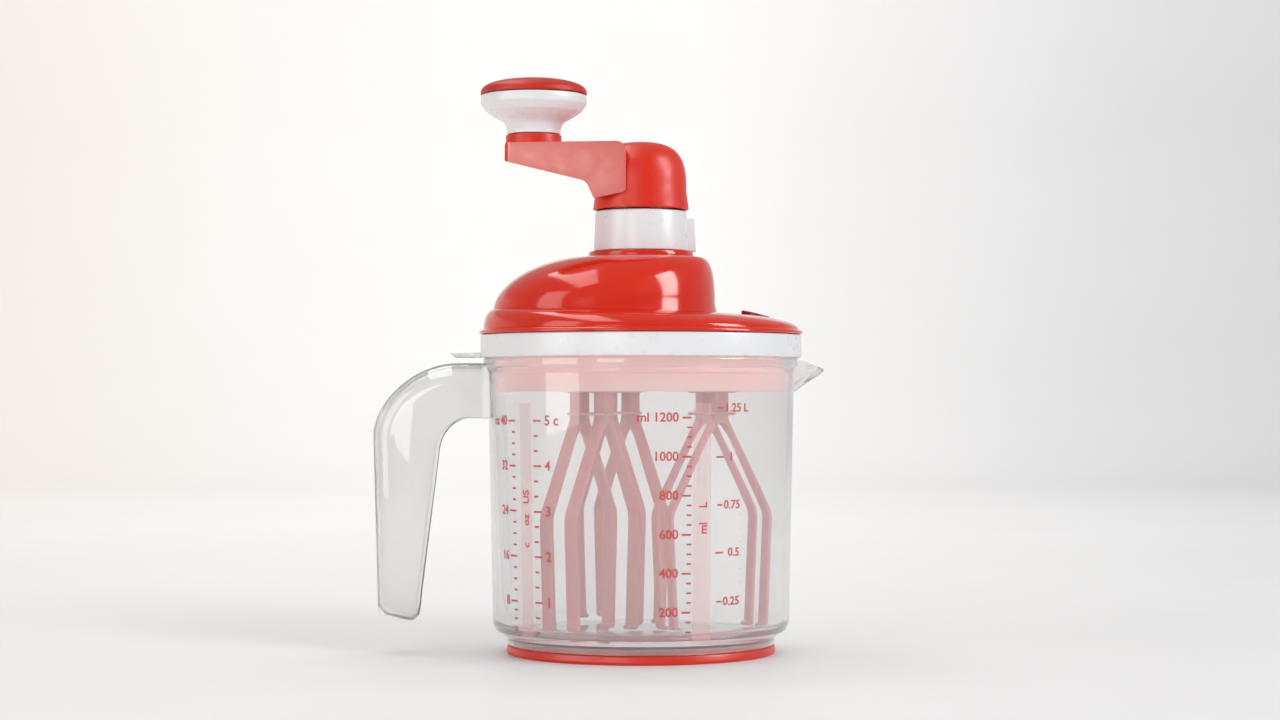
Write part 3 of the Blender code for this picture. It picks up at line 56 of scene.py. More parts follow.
# Heights shared by several pieces
RIM = 126.0
LID_FOOT = 126.3
LID_TOP = 136.1
COVER_FOOT = 136.4
TURRET_FOOT = 172.2
TURRET_TOP = 189.4
HUB_FOOT = 190.0
HUB_TOP = 219.1
BOSS_TOP = 222.3
KNOB_FOOT = 222.6
CAP_FOOT = 239.7

# Radii and distances from an axis shared by several pieces
RIM_RADIUS = 67.9
ROOT = 61.1
THROW = 46.2
FILLER = 49.5
FILLER_RADIUS = 6.3
FILLER_HOLE = 6.6
AXLE_BORE = 3.3


# Materials


def new_material(name):
    made = bpy.data.materials.new(name)
    made.use_nodes = True
    tree = made.node_tree
    return made, tree, tree.nodes["Principled BSDF"]


def noise(tree, scale, detail=2.0, stretch=(1, 1, 1)):
    """Noise over the model in metres, so its scale is in waves per metre."""
    place = tree.nodes.new("ShaderNodeTexCoord")
    mapping = tree.nodes.new("ShaderNodeMapping")
    mapping.inputs["Scale"].default_value = stretch
    tree.links.new(place.outputs["Object"], mapping.inputs["Vector"])
    made = tree.nodes.new("ShaderNodeTexNoise")
    made.inputs["Scale"].default_value = scale
    made.inputs["Detail"].default_value = detail
    tree.links.new(mapping.outputs["Vector"], made.inputs["Vector"])
    return made.outputs["Fac"]


def remap(tree, source, low, high, start=0.3, end=0.7):
    """The source's range from start to end, spread from low to high."""
    made = tree.nodes.new("ShaderNodeMapRange")
    made.inputs["From Min"].default_value = start
    made.inputs["From Max"].default_value = end
    made.inputs["To Min"].default_value = low
    made.inputs["To Max"].default_value = high
    tree.links.new(source, made.inputs["Value"])
    return made.outputs["Result"]


def tint(tree, source, first, second):
    """The first colour where the source is 0, the second where it is 1."""
    made = tree.nodes.new("ShaderNodeMix")
    made.data_type = "RGBA"
    made.inputs["A"].default_value = (*first, 1)
    made.inputs["B"].default_value = (*second, 1)
    tree.links.new(source, made.inputs["Factor"])
    return made.outputs["Result"]


def bump(tree, shader, source, strength, distance):
    made = tree.nodes.new("ShaderNodeBump")
    made.inputs["Strength"].default_value = strength
    made.inputs["Distance"].default_value = distance
    tree.links.new(source, made.inputs["Height"])
    tree.links.new(made.outputs["Normal"], shader.inputs["Normal"])


def moulded(name, colour, roughness, grain=0.05, coat=0.0, shift=0.06, ior=1.5):
    """Injection moulded plastic: a faint colour drift, uneven gloss and a fine skin."""
    made, tree, shader = new_material(name)
    drift = remap(tree, noise(tree, 28, 3), 0, 1)
    deeper = tuple(channel * (1 - shift) for channel in colour)
    tree.links.new(tint(tree, drift, deeper, colour), shader.inputs["Base Color"])
    skin = noise(tree, 1400, 3)
    gloss = remap(tree, noise(tree, 210, 4), roughness * 0.85, roughness * 1.2)
    tree.links.new(gloss, shader.inputs["Roughness"])
    bump(tree, shader, skin, grain, 0.00012)
    shader.inputs["IOR"].default_value = ior
    if coat:
        shader.inputs["Coat Weight"].default_value = coat
        shader.inputs["Coat Roughness"].default_value = 0.06
    return made


def clear_plastic(name, colour, roughness, clearness, alpha):
    """Clear plastic with the slow ripples and milky haze of a moulded wall."""
    made, tree, shader = new_material(name)
    drift = remap(tree, noise(tree, 24, 2), 0, 1)
    greyer = tuple(channel * 0.985 for channel in colour)
    tree.links.new(tint(tree, drift, greyer, colour), shader.inputs["Base Color"])
    haze = remap(tree, noise(tree, 160, 4), roughness * 0.6, roughness * 1.5)
    tree.links.new(haze, shader.inputs["Roughness"])
    bump(tree, shader, noise(tree, 38, 2, (1, 1, 0.35)), 0.05, 0.0004)
    shader.inputs["Transmission Weight"].default_value = clearness
    shader.inputs["IOR"].default_value = 1.32
    shader.inputs["Alpha"].default_value = alpha
    shader.inputs["Coat Weight"].default_value = 0.5
    shader.inputs["Coat Roughness"].default_value = 0.04
    return made


def glowing(name, colour, roughness, painted_glow):
    """Thin tinted plastic that lets light through, so its sides look alike, and a painted glow from its
    emission.
    """
    made = moulded(name, colour, roughness, shift=0.05, ior=1.35)
    shader = made.node_tree.nodes["Principled BSDF"]
    shader.inputs["Subsurface Weight"].default_value = 0.8
    shader.inputs["Subsurface Radius"].default_value = (1.0, 0.7, 0.7)
    shader.inputs["Subsurface Scale"].default_value = 0.006
    # Painted glow: the emission makes the plastic shine by itself, though it is no lamp.
    shader.inputs["Emission Color"].default_value = (1.0, 0.70, 0.68, 1)
    shader.inputs["Emission Strength"].default_value = painted_glow
    return made


def brushed_metal(name, colour, roughness):
    """Metal with the fine rings that turning leaves."""
    made, tree, shader = new_material(name)
    streaks = noise(tree, 900, 3, (1, 1, 6))
    deeper = tuple(channel * 0.8 for channel in colour)
    tree.links.new(tint(tree, remap(tree, streaks, 0, 1), deeper, colour), shader.inputs["Base Color"])
    tree.links.new(remap(tree, streaks, roughness * 0.7, roughness * 1.3), shader.inputs["Roughness"])
    bump(tree, shader, streaks, 0.1, 0.00005)
    shader.inputs["Metallic"].default_value = 1.0
    return made


def printed(name, colour, alpha):
    """Screen-printed ink, a little uneven in strength."""
    made, tree, shader = new_material(name)
    patchy = noise(tree, 600, 4)
    paler = tuple(min(channel * 1.15 + 0.02, 1) for channel in colour)
    tree.links.new(tint(tree, remap(tree, patchy, 0, 1), colour, paler), shader.inputs["Base Color"])
    tree.links.new(remap(tree, patchy, alpha * 0.92, alpha), shader.inputs["Alpha"])
    shader.inputs["Roughness"].default_value = 0.45
    return made


SCARLET = (0.74, 0.024, 0.006)

RED = moulded("red_gloss", SCARLET, 0.13, grain=0.02, coat=0.1, ior=1.4)
RED_CRANK = moulded("red_crank", SCARLET, 0.36, grain=0.03, ior=1.4)
# The knob's cap in a darker red: painted shade on the same red plastic, which is less lit there.
RED_CAP_SHADED = moulded("red_cap_shaded", (0.58, 0.024, 0.010), 0.42, grain=0.03, ior=1.36)
# The arm's flat sides in a paler red that reflects strongly: a painted sheen on the same red plastic.
RED_ARM_SHEEN = moulded("red_arm_sheen", (0.66, 0.060, 0.038), 0.42, grain=0.03, ior=2.05)
RED_SATIN = moulded("red_satin", (0.72, 0.030, 0.012), 0.34)
# The red gear tray in pale pink with a glow: painted light for the milky reflection of the jug wall in
# front of it.
RED_TRAY_PAINTED_VEIL = glowing("red_tray_painted_veil", (0.92, 0.56, 0.53), 0.45, 0.24)
# The filler funnel's rim in dark red: painted shade on the same red plastic.
RED_FUNNEL_SHADE = moulded("red_funnel_shade", (0.30, 0.006, 0.004), 0.3)
WHITE = moulded("white_gloss", (0.86, 0.87, 0.885), 0.3, grain=0.004, shift=0.006)
WHITE_SATIN = moulded("white_satin", (0.74, 0.75, 0.76), 0.4, grain=0.1, shift=0.02)
NATURAL = moulded("natural", (0.70, 0.68, 0.62), 0.42, grain=0.1, shift=0.03)
# The whisks carry a faint painted glow.
WHISK = glowing("whisk_plastic", (0.74, 0.28, 0.28), 0.6, 0.02)
# The seal in pale pink with a glow: painted light, matching the painted veil on the gear tray.
SEAL = glowing("seal_rubber", (0.90, 0.54, 0.51), 0.6, 0.2)
STEEL = brushed_metal("steel", (0.56, 0.57, 0.60), 0.3)
CLEAR = clear_plastic("clear_jug", (0.97, 0.972, 0.975), 0.02, 0.86, 1.0)
CLEAR_TAB = clear_plastic("clear_tab", (0.80, 0.81, 0.82), 0.2, 0.8, 0.85)
INK = printed("ink_red", (0.62, 0.08, 0.07), 0.85)
INK_BAND = printed("ink_band", (0.84, 0.56, 0.55), 0.22)


# Mesh helpers


def settle(bm, name):
    """A mesh in metres in the object's own place, from one drawn in millimetres about the jug's axis."""
    bmesh.ops.recalc_face_normals(bm, faces=bm.faces)
    bmesh.ops.scale(bm, vec=(MM, MM, MM), verts=bm.verts)
    bmesh.ops.translate(bm, vec=AXIS, verts=bm.verts)
    mesh = bpy.data.meshes.new(name)
    bm.to_mesh(mesh)
    bm.free()
    return mesh


def smooth(mesh):
    mesh.shade_smooth()
    mesh.set_sharp_from_angle(angle=SHARP)


def linked(name, data):
    """A new object, linked to the scene."""
    made = bpy.data.objects.new(name, data)
    bpy.context.scene.collection.objects.link(made)
    return made


def evaluated_mesh(holder):
    """The object's mesh after its modifiers, or its curve made into one."""
    bpy.context.view_layer.update()
    graph = bpy.context.evaluated_depsgraph_get()
    return bpy.data.meshes.new_from_object(holder.evaluated_get(graph))


def add_piece(name, mesh, material, body, replaces=()):
    """A piece that rides on a body and stands in for the solids that it replaces."""
    piece = linked(name, mesh)
    mesh.materials.clear()
    mesh.materials.append(material)
    smooth(mesh)
    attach(piece, body)
    if replaces:
        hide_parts(*replaces)
    return piece


def combine(name, mesh, steps):
    """The mesh after joining or cutting it with each tool mesh in turn."""
    target = linked(name, mesh)
    tools = []
    for number, (operation, other) in enumerate(steps):
        tools.append(linked(f"{name}_tool_{number}", other))
        made = target.modifiers.new(operation, "BOOLEAN")
        made.operation = operation
        made.solver = "EXACT"
        made.object = tools[-1]
    result = evaluated_mesh(target)
    for used in tools + [target]:
        bpy.data.objects.remove(used, do_unlink=True)
    result.name = name
    return result


def bevel(bm, edges, offset, segments=3):
    bmesh.ops.bevel(
        bm, geom=edges, offset=offset, segments=segments, profile=0.5, affect="EDGES", clamp_overlap=True
    )


def raise_faces(bm, faces, depth):
    """Turns flat faces into a closed solid of the depth along Z."""
    raised = bmesh.ops.extrude_face_region(bm, geom=faces)
    moved = [item for item in raised["geom"] if isinstance(item, bmesh.types.BMVert)]
    bmesh.ops.translate(bm, vec=(0, 0, depth), verts=moved)
    bmesh.ops.recalc_face_normals(bm, faces=bm.faces)


def bridge(bm, loops, others):
    """Faces between each loop of points and its partner."""
    for near, far in zip(loops, others):
        for i in range(len(near)):
            j = (i + 1) % len(near)
            bm.faces.new((near[i], near[j], far[j], far[i]))


def corner_points(before, corner, after, steps):
    """A corner (x, y, radius) as the points of its rounding."""
    here = Vector(corner[:2])
    if len(corner) < 3 or corner[2] <= 0:
        return [tuple(here)]
    back = Vector(before[:2]) - here
    ahead = Vector(after[:2]) - here
    most = 0.49 * min(back.length, ahead.length)
    back.normalize()
    ahead.normalize()
    half = back.angle(ahead) / 2
    if half > math.radians(89):
        return [tuple(here)]
    reach = min(corner[2] / math.tan(half), most)
    radius = reach * math.tan(half)
    middle = here + (back + ahead).normalized() * radius / math.sin(half)
    start = here + back * reach - middle
    sweep = start.angle_signed(here + ahead * reach - middle)
    return [tuple(middle + Matrix.Rotation(-sweep * i / steps, 2) @ start) for i in range(steps + 1)]


def rounded(corners, closed, steps=5):
    """A path through (x, y) corners, rounded where a corner has a radius too."""
    count = len(corners)
    path = []
    for i, corner in enumerate(corners):
        if not closed and i in (0, count - 1):
            path.append(tuple(corner[:2]))
            continue
        path += corner_points(corners[i - 1], corner, corners[(i + 1) % count], steps)
    return path


def superquarter(width, height, power, steps):
    """A quarter of an oval from (width, 0) to (0, height), squarer with a higher power."""
    points = []
    for i in range(steps + 1):
        angle = math.pi / 2 * i / steps
        across = max(math.cos(angle), 0.0) ** (2 / power)
        points.append((width * across, height * max(math.sin(angle), 0.0) ** (2 / power)))
    return points


def turned_mesh(name, corners, closed, segments=ROUND, steps=5, place=(0, 0)):
    """A turned solid: (radius, height, rounding) corners, closed in a loop or ending on the axis."""
    path = rounded(corners, closed, steps)
    bm = bmesh.new()
    loops = []
    for radius, height in path:
        if radius < 0.001:
            loops.append([bm.verts.new((place[0], place[1], height))])
            continue
        loop = []
        for i in range(segments):
            angle = math.tau * i / segments
            x = place[0] + radius * math.cos(angle)
            loop.append(bm.verts.new((x, place[1] + radius * math.sin(angle), height)))
        loops.append(loop)
    pairs = list(zip(loops, loops[1:]))
    if closed:
        pairs.append((loops[-1], loops[0]))
    for upper, lower in pairs:
        for i in range(segments):
            j = (i + 1) % segments
            if len(upper) == 1:
                bm.faces.new((upper[0], lower[i], lower[j]))
            elif len(lower) == 1:
                bm.faces.new((upper[i], lower[0], upper[j]))
            else:
                bm.faces.new((upper[i], lower[i], lower[j], upper[j]))
    return settle(bm, name)


def rod_mesh(name, radius, low, high, segments, place=(0, 0)):
    """A plain upright rod, to cut a hole with."""
    corners = [(0, high), (radius, high), (radius, low), (0, low)]
    return turned_mesh(name, corners, False, segments, place=place)


def slab_mesh(name, outline, depth, edge, standing=True, middle=0.0):
    """An outline raised to a thickness, its edges rounded; standing puts the outline in X and Z."""
    bm = bmesh.new()
    face = bm.faces.new([bm.verts.new((x, y, -depth / 2)) for x, y in outline])
    raise_faces(bm, [face], depth)
    if edge:
        rim = [e for e in bm.edges if abs(abs(e.verts[0].co.z + e.verts[1].co.z) - depth) < 0.001]
        bevel(bm, rim, edge, 2)
    for vert in bm.verts:
        x, y, z = vert.co
        vert.co = (x, middle - z, y) if standing else (x, y, middle + z)
    return settle(bm, name)


def hull_mesh(name, points, edge=0.0):
    """The smallest solid round the points, its edges rounded."""
    bm = bmesh.new()
    for point in points:
        bm.verts.new(point)
    made = bmesh.ops.convex_hull(bm, input=bm.verts)
    inner = [item for item in made["geom_interior"] if isinstance(item, bmesh.types.BMVert)]
    bmesh.ops.delete(bm, geom=inner, context="VERTS")
    bmesh.ops.dissolve_limit(bm, angle_limit=ONE_DEGREE, verts=bm.verts, edges=bm.edges)
    if edge:
        bevel(bm, list(bm.edges), edge)
    return settle(bm, name)


def add_turned(name, corners, material, body, node):
    """A piece that is a closed profile turned round the jug's axis."""
    add_piece(name, turned_mesh(name, corners, True), material, body, (node,))


# Jug

WALL_FOOT = 12.3
WALL_HEIGHT = 108.5
WALL_FOOT_RADIUS = 63.6
WALL_TOP_RADIUS = 65.8
HOLLOW_FLOOR = 8.2

# The handle's upper curves, the outer arch and the nook inside it, each with its reach and its rise
ARCH_CENTRE = (79.7, 93.0)
ARCH_REACH = 35.3
ARCH_RISE = 31.1
GRIP = 87.1
NOOK_LEVEL = 84.0
NOOK_REACH = 13.95
NOOK_RISE = 16.0

HANDLE_DEPTH = 24.0
HANDLE_WALL = 2.2
HANDLE_LIP = 3.3
HANDLE_EDGE = 10.0

SPOUT_TIP = 78.6
SPOUT_HALF = 14.0
SPOUT_TIP_HALF = 0.6
SPOUT_WALL = 1.8
SPOUT_KEEL = 111.9
SPOUT_KEEL_SLOPE = 9.7 / 12.8


def wall_radius(height):
    return WALL_FOOT_RADIUS + (height - WALL_FOOT) / WALL_HEIGHT * (WALL_TOP_RADIUS - WALL_FOOT_RADIUS)


def handle_outline(inset, opening, root):
    """The handle from the side, drawn in by an inset outside and an opening on the jug's side."""
    arch_x, arch_z = ARCH_CENTRE
    arch = superquarter(ARCH_REACH - inset, ARCH_RISE - inset, 1.8, 20)
    outer = [(arch_x + u, arch_z + v) for u, v in reversed(arch)]
    grip = GRIP - opening
    nook_level = NOOK_LEVEL - opening
    foot = [
        (arch_x + ARCH_REACH - inset, arch_z),
        (112.8 - inset, 16.4 + inset, 3.0),
        (95.6 - opening, 12.4 + inset, 4.5),
        (grip, nook_level),
    ]
    nook = superquarter(NOOK_REACH, NOOK_RISE, 2, 10)
    inner = [(grip - NOOK_REACH + u, nook_level + v) for u, v in nook]
    top = [(root, arch_z + ARCH_RISE - inset)]
    path = top + outer + rounded(foot, False)[1:-1] + inner + [(root, nook_level + NOOK_RISE)]
    return [(-u, z) for u, z in path]


def handle_mesh(name, depth, inset, opening, root, edge, steps=10):
    """The handle's outline raised to a depth, its outer side rounded over."""
    sections = []
    for i in range(steps + 1):
        angle = math.pi / 2 * i / steps
        more = edge * (1 - math.sin(angle))
        outline = handle_outline(inset + more, opening - 0.1 * more, root)
        sections.append((depth / 2 - edge * (1 - math.cos(angle)), outline))
    bm = bmesh.new()
    loops = [[bm.verts.new((x, -y, z)) for x, z in outline] for y, outline in sections]
    loops += [[bm.verts.new((x, y, z)) for x, z in outline] for y, outline in reversed(sections)]
    bridge(bm, loops, loops[1:])
    bm.faces.new(loops[0])
    bm.faces.new(loops[-1])
    return settle(bm, name)


def spout_points(inset, rim_top, lip_top, tip_top):
    """The spout's corners, drawn in by an inset, with its top's heights from the wall to the tip."""
    drop = 1.2 * inset
    tip = SPOUT_TIP - 1.4 * inset
    keel = SPOUT_KEEL + drop - SPOUT_KEEL_SLOPE * (WALL_TOP_RADIUS - ROOT)
    half = SPOUT_HALF - inset
    tip_half = max(SPOUT_TIP_HALF - inset / 4, 0.15)
    points = [(ROOT, 0, keel)]
    for side in (-1, 1):
        points += [
            (ROOT, side * half, rim_top),
            (RIM_RADIUS, side * half * 0.78, lip_top),
            (tip, side * tip_half, tip_top),
            (tip, side * tip_half, 120.4 + drop),
            (ROOT, side * half * 0.6, keel + 2.7),
        ]
    return points


def make_jug():
    body = [
        (0, RIM),
        (RIM_RADIUS, RIM, 0.9),
        (RIM_RADIUS, 122.4, 0.9),
        (66.6, 121.9, 0.8),
        (WALL_TOP_RADIUS, 119.8, 1.5),
        (WALL_FOOT_RADIUS, 13.0, 3.0),
        (62.4, 10.2, 1.4),
        (57.9, 7.2, 1.0),
        (57.4, 6.4, 0.5),
        (57.4, 4.0, 0.5),
        (54.9, 4.0, 0.4),
        (54.9, 6.0, 0.4),
        (0, 6.0),
    ]
    hollow = [
        (0, 129.0),
        (66.0, 129.0),
        (64.6, RIM, 0.5),
        (63.9, 124.6, 0.8),
        (61.7, 13.6, 3.0),
        (55.0, HOLLOW_FLOOR, 2.5),
        (0, HOLLOW_FLOOR),
    ]
    depth = HANDLE_DEPTH - 2 * HANDLE_WALL
    edge = HANDLE_EDGE - HANDLE_WALL
    handle = handle_mesh("jug_handle", HANDLE_DEPTH, 0, 0, ROOT, HANDLE_EDGE)
    pocket = handle_mesh("jug_pocket", depth, HANDLE_WALL, HANDLE_LIP, RIM_RADIUS, edge)
    above = RIM + 1.9
    steps = [
        ("UNION", handle),
        ("UNION", hull_mesh("jug_spout", spout_points(0, RIM, 125.4, 121.6), 0.5)),
        ("DIFFERENCE", pocket),
        ("DIFFERENCE", turned_mesh("jug_hollow", hollow, False)),
        ("DIFFERENCE", hull_mesh("jug_throat", spout_points(SPOUT_WALL, above, above, above))),
    ]
    mesh = combine("clear_jug", turned_mesh("jug_wall", body, False), steps)
    add_piece("clear_jug", mesh, CLEAR, "jug", ("jug",))


def make_base_ring():
    corners = [
        (57.3, 3.7, 0.5),
        (57.7, 1.2, 0.6),
        (57.2, 0.0, 0.5),
        (46.8, 0.0, 0.4),
        (46.4, 3.7, 0.4),
        (51.0, 3.7),
        (51.0, 5.7, 0.3),
        (54.6, 5.7, 0.3),
        (54.6, 3.7),
    ]
    add_turned("red_base_ring", corners, RED_SATIN, "jug", "base_ring")


# Printed scales

# Heights of the main ticks
OZ = (10.4, 24.9, 43.6, 62.4, 81.0, 99.7)
CUPS = (12.4, 24.9, 43.7, 62.3, 81.1, 99.7)
MILLILITRES = (22.0, 37.8, 53.6, 69.5, 85.3, 101.2)
LITRES = ((105.1, "1.25 L"), (85.1, "1"), (65.5, "0.75"), (46.0, "0.5"), (26.0, "0.25"))

# Each column's angle round the jug, in degrees from the front
OZ_LABELS = -58.6
OZ_TICKS = -55.2
OZ_SHORT = -54.2
LEFT_WORDS = -47.0
LEFT_BAND = -47.1
CUP_SHORT = -41.6
CUP_TICKS = -40.9
CUP_LABELS = -37.3
ML_LABELS = 13.6
ML_TICKS = 16.6
ML_SHORT = 17.6
ML_LOWEST = 17.4
RIGHT_BAND = 22.6
RIGHT_WORDS = 23.2
LITRE_TICKS = 29.8
LITRE_LABELS = 31.5
LITRE_LABELS_WIDE = 33.5
BACK_TICKS = 135.0

BAND_HEIGHT = 97.0
BAND_MIDDLE = 58.6
TEXT_HALF_DEPTH = 0.06


def on_wall(mesh, angle, height, upright=False):
    """Bends a flat mesh, drawn in millimetres in X and Y, round the jug's front wall at an angle."""
    for vert in mesh.vertices:
        x, y, z = vert.co
        if upright:
            x, y = -y, x
        here = height + y
        radius = wall_radius(here) + z
        around = math.radians(angle) + x / wall_radius(here)
        place = Vector((radius * math.sin(around), -radius * math.cos(around), here))
        vert.co = place * MM + AXIS
    return mesh


def bar(width, angle, middle, height=0.8, depth=0.12):
    """A printed bar on the wall, in squares narrow enough to bend with it."""
    bm = bmesh.new()
    bmesh.ops.create_grid(bm, x_segments=max(int(width), 2), y_segments=max(int(height / 12), 1), size=0.5)
    bmesh.ops.scale(bm, vec=(width, height, 1), verts=bm.verts)
    raise_faces(bm, list(bm.faces), depth)
    mesh = bpy.data.meshes.new("ink_bar")
    bm.to_mesh(mesh)
    bm.free()
    return on_wall(mesh, angle, middle)


def label(words, size, align, angle, middle, upright=False):
    """Printed words on the wall, their backs on it."""
    curve = bpy.data.curves.new("ink_text", "FONT")
    curve.body = words
    curve.size = size
    curve.align_x = align
    curve.align_y = "CENTER"
    curve.extrude = TEXT_HALF_DEPTH
    curve.offset = 0.09
    curve.resolution_u = 3
    holder = linked("ink_text", curve)
    mesh = evaluated_mesh(holder)
    bpy.data.objects.remove(holder, do_unlink=True)
    for vert in mesh.vertices:
        vert.co.z += TEXT_HALF_DEPTH
    return on_wall(mesh, angle, middle, upright)


def merge(name, meshes):
    bm = bmesh.new()
    for mesh in meshes:
        bm.from_mesh(mesh)
        bpy.data.meshes.remove(mesh)
    bmesh.ops.remove_doubles(bm, verts=bm.verts, dist=0.000001)
    made = bpy.data.meshes.new(name)
    bm.to_mesh(made)
    bm.free()
    return made


def steps_between(low, high, count):
    """The heights that divide a step into equal parts, without its ends."""
    return [low + (high - low) * i / count for i in range(1, count)]


def left_scale():
    """Fluid ounces and cups, either side of a pale band."""
    marks = []
    for number, height in enumerate(OZ[1:], 1):
        marks.append(bar(4.6, OZ_TICKS, height))
        marks.append(label(f"{8 * number}" if number < 5 else "oz 40", 5.6, "RIGHT", OZ_LABELS, height))
    for low, high in zip(OZ, OZ[1:]):
        marks += [bar(2.2, OZ_SHORT, height) for height in steps_between(low, high, 4)]
    marks.append(bar(2.6, OZ_SHORT, OZ[0] + 2.6))
    for number, height in enumerate(CUPS[1:], 1):
        marks.append(bar(4.2, CUP_TICKS, height))
        marks.append(label(f"{number}" if number < 5 else "5 c", 5.8, "LEFT", CUP_LABELS, height))
    for low, high in zip(CUPS[1:], CUPS[2:]):
        marks += [bar(2.2, CUP_SHORT, height) for height in steps_between(low, high, 3)]
    marks += [bar(2.4, CUP_SHORT, height) for height in (CUPS[0], 18.6)]
    for words, height in (("US", 68.3), ("oz", 58.8), ("c", 48.4)):
        marks.append(label(words, 5.0, "CENTER", LEFT_WORDS, height, True))
    return marks


def right_scale():
    """Millilitres and litres, either side of a pale band."""
    marks = []
    for number, height in enumerate(MILLILITRES, 1):
        marks.append(bar(3.8, ML_TICKS, height))
        words = f"{200 * number}" if number < 6 else "ml 1200"
        marks.append(label(words, 5.3, "RIGHT", ML_LABELS, height))
        if number > 1:
            between = steps_between(MILLILITRES[number - 2], height, 4)
            marks += [bar(2.0, ML_SHORT, level, 0.7) for level in between]
    marks += [bar(2.2, ML_LOWEST, height, 0.7) for height in (14.0, 18.0)]
    for height, words in LITRES:
        wide = words in ("1", "0.5")
        marks.append(bar(3.7 if wide else 2.5, LITRE_TICKS, height, 0.7))
        marks.append(label(words, 4.9, "LEFT", LITRE_LABELS_WIDE if wide else LITRE_LABELS, height))
    for words, height in (("L", 65.6), ("ml", 56.2)):
        marks.append(label(words, 4.9, "CENTER", RIGHT_WORDS, height, True))
    return marks


def scale_bands():
    columns = ((6.8, LEFT_BAND), (7.9, RIGHT_BAND))
    return [bar(width, angle, BAND_MIDDLE, BAND_HEIGHT, 0.05) for width, angle in columns]


def back_ticks():
    return [bar(1.6, BACK_TICKS, 13.7 + 6.05 * number, 0.7) for number in range(8)]


def make_scales():
    pieces = (
        ("scale_oz_cups", left_scale, INK),
        ("scale_ml_litres", right_scale, INK),
        ("scale_bands", scale_bands, INK_BAND),
        ("scale_back_ticks", back_ticks, INK_BAND),
    )
    for name, draw, ink in pieces:
        add_piece(name, merge(name, draw()), ink, "jug")


# Lid

DISC_FOOT = 138.4
HANDLE_SHOULDER = 147.0
SPOUT_SHOULDER = 145.0
DOME_TOP = 169.6
COVER_WALL = 2.2
FILLER_SLOPE = math.tan(math.radians(14))


def make_lid_ring():
    corners = [
        (69.0, LID_TOP, 0.7),
        (69.0, LID_FOOT, 0.9),
        (66.0, LID_FOOT, 0.3),
        (66.0, 128.8),
        (62.5, 128.8, 0.3),
        (62.5, 131.0, 0.3),
        (66.0, 131.0),
        (66.0, LID_TOP, 0.3),
    ]
    add_turned("white_lid_ring", corners, WHITE, "lid", "lid_ring")
    tab = []
    for side in (-1, 1):
        tab += [
            (-67.6, side * 9.0, 128.5),
            (-67.6, side * 9.0, LID_FOOT),
            (-82.0, side * 6.3, 128.3),
            (-79.6, side * 6.3, LID_FOOT),
        ]
    add_piece("thumb_tab", hull_mesh("thumb_tab", tab, 0.6), CLEAR_TAB, "lid")


def make_gear_tray():
    corners = [
        (0, 118.2),
        (60.8, 118.2, 0.6),
        (60.8, 128.5, 0.3),
        (65.7, 128.5, 0.3),
        (65.7, LID_FOOT, 0.3),
        (62.8, LID_FOOT),
        (62.8, 122.2),
        (61.8, 122.2),
        (61.8, 119.0),
        (62.8, 119.0),
        (62.8, 111.8, 0.7),
        (60.9, 111.8, 0.7),
        (60.8, 116.0, 0.6),
        (0, 116.0),
    ]
    holes = [("DIFFERENCE", rod_mesh("bush_seat", 5.5, 110, 130, 32, place)) for place in whisk_places()]
    holes.append(("DIFFERENCE", rod_mesh("filler_seat", FILLER_HOLE, 110, 130, 32, (FILLER, 0))))
    mesh = combine("red_gear_tray", turned_mesh("tray", corners, False), holes)
    add_piece("red_gear_tray", mesh, RED_TRAY_PAINTED_VEIL, "lid", ("gear_tray",))
    seal = [(63.5, 121.9, 0.6), (63.5, 119.3, 0.6), (62.1, 119.3), (62.1, 121.9)]
    add_turned("grey_lid_seal", seal, SEAL, "lid", "lid_seal")


def flat_ring(radius, height):
    """A ring of the cover that isn't tilted, in the form of cover_bands."""
    return (-radius, height, radius, height)


def cover_bands(inset, disc_steps, dome_steps):
    """Tilted circles up the cover, as x and z on the handle side, then on the spout side."""
    edge = 67.7 - inset
    handle_crest = 63.4 - inset
    spout_crest = 32.9 - inset
    handle_side = superquarter(edge - handle_crest, HANDLE_SHOULDER - DISC_FOOT - inset, 2, disc_steps)
    spout_side = superquarter(edge - spout_crest, SPOUT_SHOULDER - DISC_FOOT - inset, 2, disc_steps)
    rings = []
    for (u, v), (p, q) in zip(handle_side, spout_side):
        rings.append((-handle_crest - u, DISC_FOOT + v, spout_crest + p, DISC_FOOT + q))
    seat = 24.3 - inset
    handle_dome = superquarter(handle_crest - seat, DOME_TOP - HANDLE_SHOULDER, 1.8, dome_steps)
    spout_dome = superquarter(32.0 - inset - seat, DOME_TOP - SPOUT_SHOULDER, 3, dome_steps)
    for (u, v), (p, q) in list(zip(handle_dome, spout_dome))[1:]:
        rings.append((-seat - u, HANDLE_SHOULDER - inset + v, seat + p, SPOUT_SHOULDER - inset + q))
    return rings


